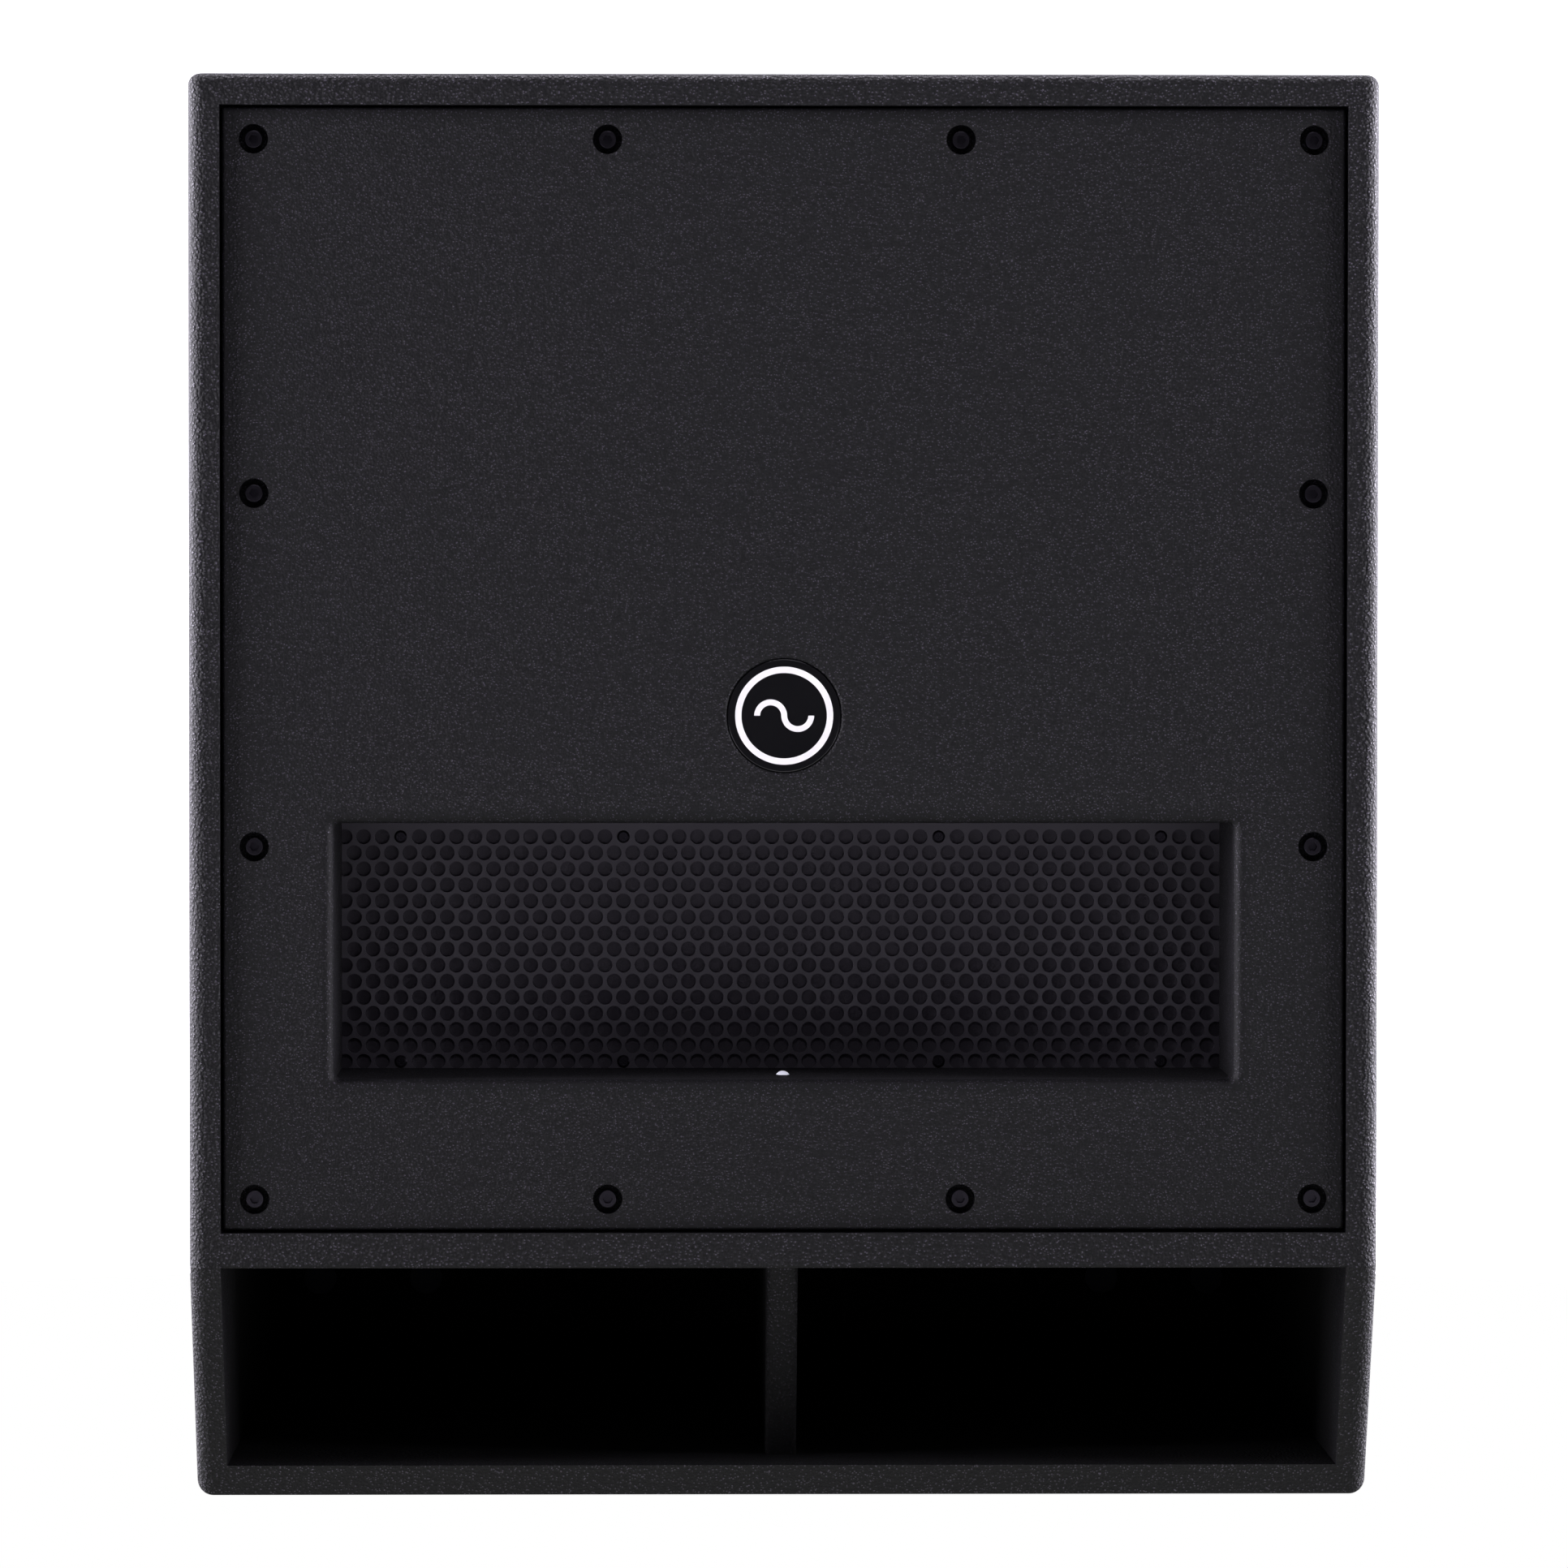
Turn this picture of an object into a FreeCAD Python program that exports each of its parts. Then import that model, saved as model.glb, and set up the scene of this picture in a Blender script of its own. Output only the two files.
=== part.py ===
import FreeCAD, Part
import math
import os
import re

import Sketcher

# A powered band-pass subwoofer cabinet, in millimetres. X runs to the right as seen from the front,
# Y runs from the front to the back, Z runs up. The origin is under the middle of the cabinet, on the floor.
# Every size is a cell of the sheet called Size, and every feature is bound to those cells.

doc = FreeCAD.newDocument("SubwooferCabinet")

SIZES = {
    # carcass
    "width": 563,
    "depth": 721,
    "height": 683,
    "board": 15,
    "foot_lift": 4,
    "shelf_board": 16.5,
    "slant_run": 60,
    "port_length": 480,
    "port_flare": 5,
    "shelf_lip": 1.5,
    "divider_board": 15,
    "divider_setback": 44,
    "divider_round": 4,
    "edge_round": 8,
    "top_round": 5.5,
    "baffle_depth": 150,
    "baffle_board": 18,
    "baffle_hole": 214,
    "brace_depth": 440,
    "brace_window": 190,
    "brace_low": 200,
    "brace_high": 620,
    "brace_round": 25,
    "wire_hole": 4.5,
    "wire_side": 30,
    # front panel
    "panel_board": 15,
    "panel_sunk": 3,
    "panel_gap": 1.15,
    "panel_gap_top": 0.95,
    "panel_gap_low": 1.55,
    "panel_round": 1.5,
    "gasket_thick": 2,
    "gasket_width": 22,
    "batten": 25,
    "screw_pitch": 167,
    "counterbore": 7,
    "counterbore_depth": 7.2,
    "bolt": 2.5,
    "bolt_hole": 2.75,
    "bolt_head": 4.25,
    "bolt_head_tall": 5,
    "bolt_socket": 4,
    "bolt_socket_deep": 2.6,
    "panel_bolt_long": 35,
    "nut_hole": 3.35,
    "nut_barrel": 3.25,
    "nut_bore": 2.6,
    "nut_long": 10,
    "nut_flange": 8,
    "nut_flange_thick": 1.5,
    # badge
    "badge_drop": 21.5,
    "badge_radius": 27,
    "badge_fit": 0.2,
    "badge_pocket": 2,
    "badge_lip": 1.9,
    "badge_thick": 1.4,
    "badge_round": 0.5,
    "emblem_thick": 0.3,
    "emblem_outer": 23.2,
    "emblem_inner": 20.2,
    "wave_radius": 6.4,
    "wave_stroke": 2.8,
    # vent duct and grille
    "vent_half": 213,
    "vent_low": 207.6,
    "vent_high": 329,
    "vent_corner": 3,
    "vent_lip": 5,
    "vent_board": 12,
    "grille_depth": 94,
    "grille_thick": 1.5,
    "grille_pitch": 9,
    "grille_hole": 3.65,
    "grille_screw_hole": 1.9,
    "foam_thick": 3,
    "grille_top_row": 319.9,
    "rail_board": 12,
    "rail_top": 27,
    "rail_low": 20.9,
    "grille_screw_far": 184.5,
    "grille_screw_near": 76.5,
    "small_screw": 1.7,
    "small_screw_hole": 1.8,
    "small_screw_head": 3.1,
    "small_screw_head_tall": 1.2,
    "small_screw_long": 14,
    "led_depth": 42,
    "led_radius": 3.2,
    "led_hole": 3.3,
    "led_dome": 1.9,
    "led_board_thick": 1.6,
    "led_board_half": 12,
    "led_socket_tall": 6,
    # driver: every Y here is counted from the front of the cabinet
    "flange_radius": 230,
    "flange_inner": 206,
    "flange_thick": 9,
    "bolt_circle": 220,
    "driver_bolt_long": 30,
    "basket_skirt": 212,
    "basket_skirt_end": 170,
    "basket_waist": 126,
    "basket_waist_depth": 246,
    "basket_end": 272,
    "basket_floor": 8,
    "basket_throat": 60,
    "basket_bore": 108,
    "basket_ledge_depth": 244,
    "window_inner": 132,
    "window_outer": 194,
    "window_inner_half": 34,
    "window_outer_half": 56,
    "cone_rim": 180,
    "cone_edge": 186,
    "cone_neck": 52.6,
    "cone_neck_depth": 230,
    "paper": 1.4,
    "roll_centre": 196,
    "roll_inner": 9.4,
    "roll_outer": 10.6,
    "roll_skin": 1.2,
    "surround_edge": 212,
    "cap_radius": 61,
    "cap_depth": 222.6,
    "cap_tall": 17,
    "spider_depth": 242.9,
    "spider_inner": 51.1,
    "spider_start": 56,
    "spider_edge": 114,
    "spider_roll": 5.4,
    "spider_pitch": 10,
    "spider_skin": 0.8,
    "coil_start": 226,
    "coil_end": 291,
    "coil_inner": 50.2,
    "coil_former": 51,
    "coil_outer": 51.9,
    "winding_start": 265,
    "winding_end": 289,
    "plate_bore": 52.9,
    "plate_radius": 108,
    "plate_thick": 10,
    "magnet_bore": 60,
    "magnet_radius": 112,
    "magnet_thick": 24,
    "yoke_radius": 110,
    "yoke_thick": 12,
    "pole_radius": 49.4,
    "pole_vent": 16,
    "terminal_half": 20,
    "terminal_tall": 13,
    "terminal_thick": 12,
    "post_radius": 3.5,
    "post_long": 9,
    # cables
    "speaker_cable": 3.5,
    "led_cable": 2,
    # handles; the cup is drawn with its mouth up
    "handle_front": 290,
    "handle_rear": 570,
    "handle_height": 440,
    "long_edge": 120,
    "handle_rebate": 4,
    "flange_long": 104,
    "flange_wide": 64,
    "flange_sheet": 1.5,
    "flange_corner": 15,
    "cup_long": 92,
    "cup_wide": 52,
    "cup_deep": 56,
    "cup_corner": 20,
    "cup_floor_round": 14,
    "cup_wall": 2,
    "cup_fit": 1,
    "bar_sunk": 11.5,
    "bar_radius": 6,
    "grip_radius": 9,
    "grip_long": 62,
    "grip_round": 2,
    "handle_screw_long": 97,
    "handle_screw_wide": 57,
    "wood_screw": 2.2,
    "wood_screw_hole": 2.3,
    "wood_screw_head": 3.5,
    "wood_screw_head_tall": 1.7,
    "wood_screw_long": 11,
    "slot_half": 0.5,
    "slot_deep": 0.8,
    # pole socket in the top board
    "socket_flange": 45,
    "socket_flange_thick": 2,
    "socket_rebate": 4,
    "socket_rebate_radius": 45.5,
    "socket_outer": 22.5,
    "socket_hole": 23,
    "socket_bore": 17.75,
    "socket_deep": 58,
    "socket_thread": 8.75,
    "socket_thread_long": 20,
    "socket_mouth": 1,
    "socket_screw_circle": 35,
    # feet
    "foot_side": 225,
    "foot_front": 115,
    "foot_rear": 650,
    "foot_radius": 19,
    "foot_foot": 17.5,
    "foot_well": 4.2,
    "foot_well_deep": 2.2,
    # amplifier recess in the back board
    "amp_half": 160,
    "amp_low": 220,
    "amp_high": 620,
    "amp_gap": 1.5,
    "amp_ledge": 15,
    "amp_batten": 35,
    "amp_batten_thick": 18,
    "amp_sheet": 2.5,
    "amp_screw_edge": 9,
    "housing_half": 142,
    "housing_gap": 3,
    "housing_deep": 130,
    "housing_sheet": 1.5,
    "sink_left": -146,
    "sink_right": -8,
    "sink_low": 240,
    "sink_high": 600,
    "sink_base": 3,
    "fin_thick": 2.2,
    "fin_tall": 8,
    "circuit_board": 1.6,
    "circuit_half": 130,
    "circuit_gap": 44,
    # controls and connectors on the amplifier panel
    "knob_side": 78,
    "knob_height": 545,
    "knob_radius": 11,
    "knob_tall": 10.5,
    "knob_gap": 0.5,
    "knob_round": 1.2,
    "knob_shaft": 3,
    "knob_hole": 3.6,
    "knob_mark": 0.8,
    "knob_mark_deep": 0.8,
    "shaft_long": 10,
    "button_left": 50,
    "button_right": 106,
    "button_height": 500,
    "button_radius": 4.5,
    "button_hole": 5,
    "button_tall": 7,
    "button_root": 8,
    "button_round": 0.8,
    "jack_left": 44,
    "jack_right": 112,
    "input_height": 440,
    "output_height": 385,
    "jack_half_wide": 13,
    "jack_half_tall": 15.5,
    "jack_sheet": 2.4,
    "jack_corner": 2,
    "jack_barrel": 11.9,
    "jack_hole": 12.1,
    "jack_long": 30,
    "shell_outer": 9.9,
    "shell_inner": 7.9,
    "shell_deep": 14,
    "plug_bore": 3.2,
    "plug_deep": 28,
    "pin_circle": 5.45,
    "pin_hole": 1.15,
    "cavity_radius": 9.4,
    "cavity_deep": 16,
    "pin_radius": 1.2,
    "male_pin_circle": 3.8,
    "pin_long": 13,
    "latch_height": 13,
    "latch_half_wide": 3.6,
    "latch_half_tall": 1.6,
    "latch_tall": 3.2,
    "latch_root": 1.4,
    "latch_fit": 0.4,
    "entry_height": 262,
    "entry_left": 34,
    "entry_right": 122,
    "entry_half_tall": 17,
    "entry_sheet": 2.5,
    "entry_body": 3,
    "entry_fit": 0.2,
    "entry_long": 28,
    "inlet_left": 44,
    "inlet_right": 69,
    "inlet_low": 254,
    "inlet_high": 270.5,
    "inlet_deep": 18,
    "blade_half_wide": 1,
    "blade_pitch": 7,
    "blade_low": 261,
    "blade_high": 265,
    "blade_long": 15,
    "rocker_left": 92,
    "rocker_right": 106,
    "rocker_well": 14,
    "rocker_well_deep": 14,
    "rocker_fit": 0.5,
    "rocker_pivot": 4,
    "rocker_half_tall": 12,
    "rocker_tall": 9.2,
    "rocker_dish": 6.4,
    "rocker_tilt": 9,
    "rocker_pin": 1.2,
    "rocker_bore": 1.3,
    "lens_height": 590,
    "lens_left": 33,
    "lens_pitch": 30,
    "lens_radius": 1.8,
    "lens_hole": 1.9,
    "lens_dome": 1.1,
    "lens_root": 4,
    # castor inserts in the back board
    "castor_side": 222,
    "castor_low": 90,
    "castor_high": 600,
    "castor_wide": 60,
    "castor_tall": 80,
    "insert_hole": 5.2,
    "insert_barrel": 5.1,
    "insert_bore": 4,
    "insert_long": 13,
    "insert_flange": 9,
    "insert_floor": 1,
}

sheet = doc.addObject("Spreadsheet::Sheet", "Size")
for row, (alias, size) in enumerate(SIZES.items(), 1):
    sheet.set(f"A{row}", alias)
    sheet.set(f"B{row}", str(size))
    sheet.setAlias(f"B{row}", alias)
doc.recompute()


# ---------------------------------------------------------------- expressions
def bound(text):
    """The expression with every size's name pointing at its cell."""
    return re.sub(r"[a-z_]+", lambda word: f"Size.{word[0]}" if word[0] in SIZES else word[0], text)


def value(text):
    """What an expression comes to now."""
    return float(sheet.evalExpression(bound(text)))


def deep(inwards):
    """The Y that lies the given distance behind the cabinet's front face."""
    return f"(-depth/2+{inwards})"


FRONT = "(-depth/2)"
BACK = "(depth/2)"
HALF = "(width/2)"
INNER = "(width/2-board)"
BASE_TOP = "(foot_lift+board)"
CEILING = "(height-board)"
SHELF_TOP = "(height-board-(width-2*board))"
SHELF_LOW = "(height-board-(width-2*board)-shelf_board)"
CENTRE = "(height-width/2)"
AMP_FACE = "(depth/2-board+amp_sheet)"
AMP_BACK = "(depth/2-board)"


def slant(at):
    """The Y of the slanted lower front at a given height."""
    return f"(-depth/2+slant_run*({SHELF_LOW}-({at}))/({SHELF_LOW}-foot_lift))"


# ---------------------------------------------------------------- outlines
def circle(x, y, radius):
    return ("circle", x, y, radius)


def rectangle(left, low, right, high):
    return [(left, low), (right, low), (right, high), (left, high)]


def rounded_rectangle(left, low, right, high, radius):
    """Corner arcs turn left, so the points run anticlockwise."""
    return [
        (f"{left}+{radius}", low),
        (f"{right}-{radius}", low, "left", radius),
        (right, f"{low}+{radius}"),
        (right, f"{high}-{radius}", "left", radius),
        (f"{right}-{radius}", high),
        (f"{left}+{radius}", high, "left", radius),
        (left, f"{high}-{radius}"),
        (left, f"{low}+{radius}", "left", radius),
    ]


def hexagon(across):
    """A hexagon about the sketch's origin, from its size across the flats."""
    corner = f"({across}/sqrt(3))"
    return [
        (corner, "0"),
        (f"{corner}/2", f"{across}/2"),
        (f"-{corner}/2", f"{across}/2"),
        (f"-{corner}", "0"),
        (f"-{corner}/2", f"-{across}/2"),
        (f"{corner}/2", f"-{across}/2"),
    ]


def shifted(outline, x, y):
    """The same outline moved by x and y."""
    if outline[0] == "circle":
        return ("circle", f"{outline[1]}+{x}", f"{outline[2]}+{y}", outline[3])
    return [(f"{point[0]}+{x}", f"{point[1]}+{y}", *point[2:]) for point in outline]


def tie(sketch, constraint, expression):
    """Add a constraint and bind its value to the sheet."""
    index = sketch.addConstraint(constraint)
    sketch.setExpression(f"Constraints[{index}]", bound(expression))


def tie_point(sketch, curve, end, x, y):
    tie(sketch, Sketcher.Constraint("DistanceX", -1, 1, curve, end, value(x)), x)
    tie(sketch, Sketcher.Constraint("DistanceY", -1, 1, curve, end, value(y)), y)


def arc_between(start, end, side, radius):
    """The shorter arc from start to end; its centre is on the side the path turns to."""
    half = (end - start) / 2
    across = FreeCAD.Vector(-half.y, half.x, 0).normalize()
    rise = math.sqrt(max(radius**2 - half.Length**2, 0))
    centre = start + half + across * (rise if side == "left" else -rise)
    first, last = (start, end) if side == "left" else (end, start)
    angles = [math.atan2(point.y - centre.y, point.x - centre.x) for point in (first, last)]
    ring = Part.Circle(centre, FreeCAD.Vector(0, 0, 1), radius)
    return Part.ArcOfCircle(ring, *angles)


def draw(sketch, outline):
    """Draw one closed outline and tie each of its points to the sheet."""
    if outline[0] == "circle":
        _, x, y, radius = outline
        centre = FreeCAD.Vector(value(x), value(y), 0)
        ring = Part.Circle(centre, FreeCAD.Vector(0, 0, 1), value(radius))
        curve = sketch.addGeometry(ring, False)
        tie_point(sketch, curve, 3, x, y)
        tie(sketch, Sketcher.Constraint("Radius", curve, value(radius)), radius)
        return
    places = [FreeCAD.Vector(value(point[0]), value(point[1]), 0) for point in outline]
    curves = []
    for number, point in enumerate(outline):
        start = places[number]
        end = places[(number + 1) % len(places)]
        if len(point) == 2:
            curve = sketch.addGeometry(Part.LineSegment(start, end), False)
            curves.append((curve, 1, 2))
            continue
        side, radius = point[2:]
        curve = sketch.addGeometry(arc_between(start, end, side, value(radius)), False)
        curves.append((curve, 1, 2) if side == "left" else (curve, 2, 1))
    for number, (curve, _, last) in enumerate(curves):
        following, first, _ = curves[(number + 1) % len(curves)]
        sketch.addConstraint(Sketcher.Constraint("Coincident", curve, last, following, first))
    for (curve, first, _), point in zip(curves, outline):
        tie_point(sketch, curve, first, point[0], point[1])
        if len(point) > 2:
            radius = point[3]
            tie(sketch, Sketcher.Constraint("Radius", curve, value(radius)), radius)


# ---------------------------------------------------------------- bodies and their features
# Whether each plane's normal points towards rising X, Y or Z.
NORMAL_RISES = {"XY": True, "XZ": False, "YZ": True}


def new_body(label, x="0", y="0", z="0"):
    body = doc.addObject("PartDesign::Body", label)
    body.Label = label
    place(body, x, y, z)
    return body


def place(thing, x, y, z):
    for axis, expression in zip("xyz", (x, y, z)):
        thing.setExpression(f"Placement.Base.{axis}", bound(expression))


def origin_feature(body, role):
    return next(item for item in body.Origin.OriginFeatures if item.Role == role)


def sketch_on(body, plane, at, outlines):
    """Closed outlines on one of the body's own planes, moved to the coordinate called at."""
    sketch = body.newObject("Sketcher::SketchObject", f"{body.Name}_sketch")
    sketch.AttachmentSupport = [(origin_feature(body, f"{plane}_Plane"), "")]
    sketch.MapMode = "FlatFace"
    offset = at if NORMAL_RISES[plane] else f"-({at})"
    sketch.setExpression("AttachmentOffset.Base.z", bound(offset))
    for outline in outlines:
        draw(sketch, outline)
    return sketch


def pad(body, plane, at, length, outlines):
    """Material from the coordinate called at, towards rising values, over the length."""
    feature = body.newObject("PartDesign::Pad", f"{body.Name}_pad")
    feature.Profile = sketch_on(body, plane, at, outlines)
    feature.setExpression("Length", bound(length))
    feature.Reversed = not NORMAL_RISES[plane]
    doc.recompute()
    return feature


def pocket(body, plane, at, length, outlines):
    """A cut from the coordinate called at, towards rising values, over the length."""
    before = body.Shape.Volume
    feature = body.newObject("PartDesign::Pocket", f"{body.Name}_pocket")
    feature.Profile = sketch_on(body, plane, at, outlines)
    feature.setExpression("Length", bound(length))
    feature.Reversed = NORMAL_RISES[plane]
    doc.recompute()
    if feature.Shape.Volume >= before - 0.01:
        raise ValueError(f"a pocket in {body.Label} cuts nothing")
    return feature


def turned_about_y(body, outline):
    """Points are (Y, radius); the outline turns about the body's Y axis."""
    return turned(body, "YZ", "H_Axis", outline)


def turned_about_z(body, outline):
    """Points are (radius, Z); the outline turns about the body's Z axis."""
    return turned(body, "XZ", "V_Axis", outline)


def turned(body, plane, axis, outline):
    sketch = sketch_on(body, plane, "0", [outline])
    feature = body.newObject("PartDesign::Revolution", f"{body.Name}_turned")
    feature.Profile = sketch
    feature.ReferenceAxis = (sketch, [axis])
    feature.Angle = 360
    doc.recompute()
    return feature


def lies_at(edge, axis, expression):
    """Whether the whole edge has that X, Y or Z."""
    first, last = edge.ParameterRange
    points = [edge.valueAt(first + (last - first) * share / 4) for share in range(5)]
    wanted = value(expression)
    return all(abs(getattr(point, axis) - wanted) < 0.01 for point in points)


def runs_along(edge, axis):
    """Whether the edge is straight and parallel to X, Y or Z."""
    others = set("xyz") - {axis}
    step = edge.Vertexes[-1].Point - edge.Vertexes[0].Point
    return isinstance(edge.Curve, Part.Line) and all(abs(getattr(step, other)) < 0.001 for other in others)


def fillet(body, radius, chosen):
    """Round the edges of the body's last feature that the test picks."""
    base = body.Tip
    names = [f"Edge{number}" for number, edge in enumerate(base.Shape.Edges, 1) if chosen(edge)]
    if not names:
        raise ValueError(f"no edge of {body.Label} is picked for rounding")
    feature = body.newObject("PartDesign::Fillet", f"{body.Name}_fillet")
    feature.Base = (base, names)
    feature.setExpression("Radius", bound(radius))
    doc.recompute()
    return feature


# ---------------------------------------------------------------- simple solids and groups
ALONG = {
    "x": FreeCAD.Rotation(FreeCAD.Vector(0, 1, 0), 90),
    "y": FreeCAD.Rotation(FreeCAD.Vector(1, 0, 0), -90),
    "z": FreeCAD.Rotation(),
}
FACING = {
    "front": FreeCAD.Rotation(FreeCAD.Vector(1, 0, 0), 90),
    "back": FreeCAD.Rotation(FreeCAD.Vector(1, 0, 0), -90),
    "left": FreeCAD.Rotation(FreeCAD.Vector(0, 0, 1), -90) * FreeCAD.Rotation(FreeCAD.Vector(1, 0, 0), 90),
    "right": FreeCAD.Rotation(FreeCAD.Vector(0, 0, 1), 90) * FreeCAD.Rotation(FreeCAD.Vector(1, 0, 0), 90),
    "up": FreeCAD.Rotation(),
    "down": FreeCAD.Rotation(FreeCAD.Vector(1, 0, 0), 180),
}


def block(label, x, y, z):
    """A box; each of x, y and z is its (low, high)."""
    box = doc.addObject("Part::Box", label)
    for side, (low, high) in zip(("Length", "Width", "Height"), (x, y, z)):
        box.setExpression(side, bound(f"({high})-({low})"))
    place(box, x[0], y[0], z[0])
    return box


def rod(label, axis, start, length, radius):
    """A cylinder from its start point, towards rising values along the axis."""
    cylinder = doc.addObject("Part::Cylinder", label)
    cylinder.setExpression("Radius", bound(radius))
    cylinder.setExpression("Height", bound(length))
    cylinder.Placement = FreeCAD.Placement(FreeCAD.Vector(), ALONG[axis])
    place(cylinder, *start)
    return cylinder


def group(label, pieces):
    """Separate solids that share one node."""
    compound = doc.addObject("Part::Compound", label)
    compound.Links = pieces
    return compound


def fused(label, pieces):
    union = doc.addObject("Part::MultiFuse", label)
    union.Shapes = pieces
    return union


def without(label, base, tools):
    """The base with the tools cut out of it."""
    cut = doc.addObject("Part::Cut", label)
    cut.Base = base
    cut.Tool = group(f"{label}_tools", tools)
    return cut


def copies(label, piece, places):
    """One piece repeated; each place is (facing, x, y, z)."""
    links = []
    for facing, x, y, z in places:
        link = doc.addObject("App::Link", f"{label}_copy")
        link.LinkedObject = piece
        link.Placement = FreeCAD.Placement(FreeCAD.Vector(), FACING[facing])
        place(link, x, y, z)
        links.append(link)
    return group(label, links)


def both(expression):
    """A coordinate and its mirror image."""
    return (f"(-({expression}))", f"({expression})")


# ---------------------------------------------------------------- fasteners, drawn with the head up
def socket_screw(label, length):
    """A hexagon-socket cap screw; its head stands on Z = 0."""
    body = new_body(label)
    turned_about_z(
        body,
        [
            ("0", f"-{length}"),
            ("bolt", f"-{length}"),
            ("bolt", "0"),
            ("bolt_head", "0"),
            ("bolt_head", "bolt_head_tall"),
            ("0", "bolt_head_tall"),
        ],
    )
    pocket(body, "XY", "bolt_head_tall-bolt_socket_deep", "bolt_socket_deep", [hexagon("bolt_socket")])
    fillet(
        body,
        "slot_half",
        lambda edge: lies_at(edge, "z", "bolt_head_tall") and edge.Curve.TypeId == "Part::GeomCircle",
    )
    return body


def cross_screw(label, shank, length, head, head_tall):
    """A pan-head screw with a cross recess; its head stands on Z = 0."""
    body = new_body(label)
    turned_about_z(
        body,
        [
            ("0", f"-{length}"),
            (shank, f"-{length}"),
            (shank, "0"),
            (head, "0"),
            (f"{head}*0.7", head_tall),
            ("0", head_tall),
        ],
    )
    arm = f"{head}*0.5"
    cross = [
        ("-slot_half", f"-{arm}"),
        ("slot_half", f"-{arm}"),
        ("slot_half", "-slot_half"),
        (arm, "-slot_half"),
        (arm, "slot_half"),
        ("slot_half", "slot_half"),
        ("slot_half", arm),
        ("-slot_half", arm),
        ("-slot_half", "slot_half"),
        (f"-{arm}", "slot_half"),
        (f"-{arm}", "-slot_half"),
        ("-slot_half", "-slot_half"),
    ]
    pocket(body, "XY", f"{head_tall}-slot_deep", "slot_deep", [cross])
    return body


def make_panel_nut():
    """A flanged nut; the flange's outer face is Z = 0 and the barrel goes down."""
    body = new_body("panel_nut")
    turned_about_z(
        body,
        [
            ("nut_bore", "-nut_long"),
            ("nut_barrel", "-nut_long"),
            ("nut_barrel", "-nut_flange_thick"),
            ("nut_flange", "-nut_flange_thick"),
            ("nut_flange", "0"),
            ("nut_bore", "0"),
        ],
    )
    return body


def make_castor_insert():
    """A blind threaded insert: its flange is closed, and the bore opens at the far end of the barrel."""
    body = new_body("castor_insert")
    turned_about_z(
        body,
        [
            ("insert_bore", "-insert_long"),
            ("insert_barrel", "-insert_long"),
            ("insert_barrel", "-nut_flange_thick"),
            ("insert_flange", "-nut_flange_thick"),
            ("insert_flange", "0"),
            ("0", "0"),
            ("0", "-insert_floor"),
            ("insert_bore", "-insert_floor"),
        ],
    )
    return body


# ---------------------------------------------------------------- carcass
def make_top_panel():
    body = new_body("top_panel")
    holes = [circle("0", "0", "socket_hole")]
    for x, y in socket_screw_places():
        holes.append(circle(x, y, "wood_screw_hole"))
    pad(body, "XY", CEILING, "board", [rectangle(f"-{HALF}", FRONT, HALF, BACK), *holes])
    fillet(body, "edge_round", lambda edge: runs_along(edge, "z"))
    fillet(body, "top_round", lambda edge: lies_at(edge, "z", "height") and edge.Length > value("long_edge"))
    pocket(body, "XY", "height-socket_rebate", "socket_rebate", [circle("0", "0", "socket_rebate_radius")])
    return body


def socket_screw_places():
    reach = "(socket_screw_circle/sqrt(2))"
    return [(x, y) for x in both(reach) for y in both(reach)]


def make_bottom_panel():
    body = new_body("bottom_panel")
    profile = [
        (slant(BASE_TOP), BASE_TOP),
        (slant("foot_lift"), "foot_lift"),
        (BACK, "foot_lift"),
        (BACK, BASE_TOP),
    ]
    pad(body, "YZ", f"-{INNER}", f"2*{INNER}", [profile])
    fillet(
        body,
        "edge_round",
        lambda edge: runs_along(edge, "x") and lies_at(edge, "z", "foot_lift") and lies_at(edge, "y", BACK),
    )
    pocket(
        body,
        "XY",
        "foot_lift",
        "wood_screw_long",
        [circle(x, y, "wood_screw_hole") for x, y in foot_places()],
    )
    return body


def foot_places():
    return [(x, deep(y)) for x in both("foot_side") for y in ("foot_front", "foot_rear")]


def handle_places():
    return [deep("handle_front"), deep("handle_rear")]


def make_side_panel(label, outer, low):
    """outer is the X of the outside face, low the lower of the board's two X values."""
    body = new_body(label)
    profile = [
        (FRONT, CEILING),
        (FRONT, SHELF_LOW),
        (slant("foot_lift"), "foot_lift"),
        (BACK, "foot_lift"),
        (BACK, CEILING),
    ]
    mouths = []
    rebates = []
    pilots = []
    for y in handle_places():
        long = "cup_long+cup_fit"
        wide = "cup_wide+cup_fit"
        mouth = rounded_rectangle(f"-({long})", f"-({wide})", f"({long})", f"({wide})", "cup_corner")
        mouths.append(shifted(mouth, y, "handle_height"))
        long = "flange_long+cup_fit/2"
        wide = "flange_wide+cup_fit/2"
        rebate = rounded_rectangle(f"-({long})", f"-({wide})", f"({long})", f"({wide})", "flange_corner")
        rebates.append(shifted(rebate, y, "handle_height"))
        for along in both("handle_screw_long"):
            for up in both("handle_screw_wide"):
                pilots.append(circle(f"{y}+{along}", f"handle_height+{up}", "wood_screw_hole"))
    pad(body, "YZ", low, "board", [profile, *mouths])
    fillet(
        body,
        "edge_round",
        lambda edge: lies_at(edge, "x", outer)
        and edge.Length > value("long_edge")
        and not lies_at(edge, "z", CEILING)
        and not is_near_handle(edge),
    )
    rebate_low = low if outer == low else f"{outer}-handle_rebate"
    pilot_low = low if outer == low else f"{outer}-wood_screw_long-handle_rebate"
    pocket(body, "YZ", rebate_low, "handle_rebate", rebates)
    pocket(body, "YZ", pilot_low, "wood_screw_long+handle_rebate", pilots)
    return body


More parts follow.
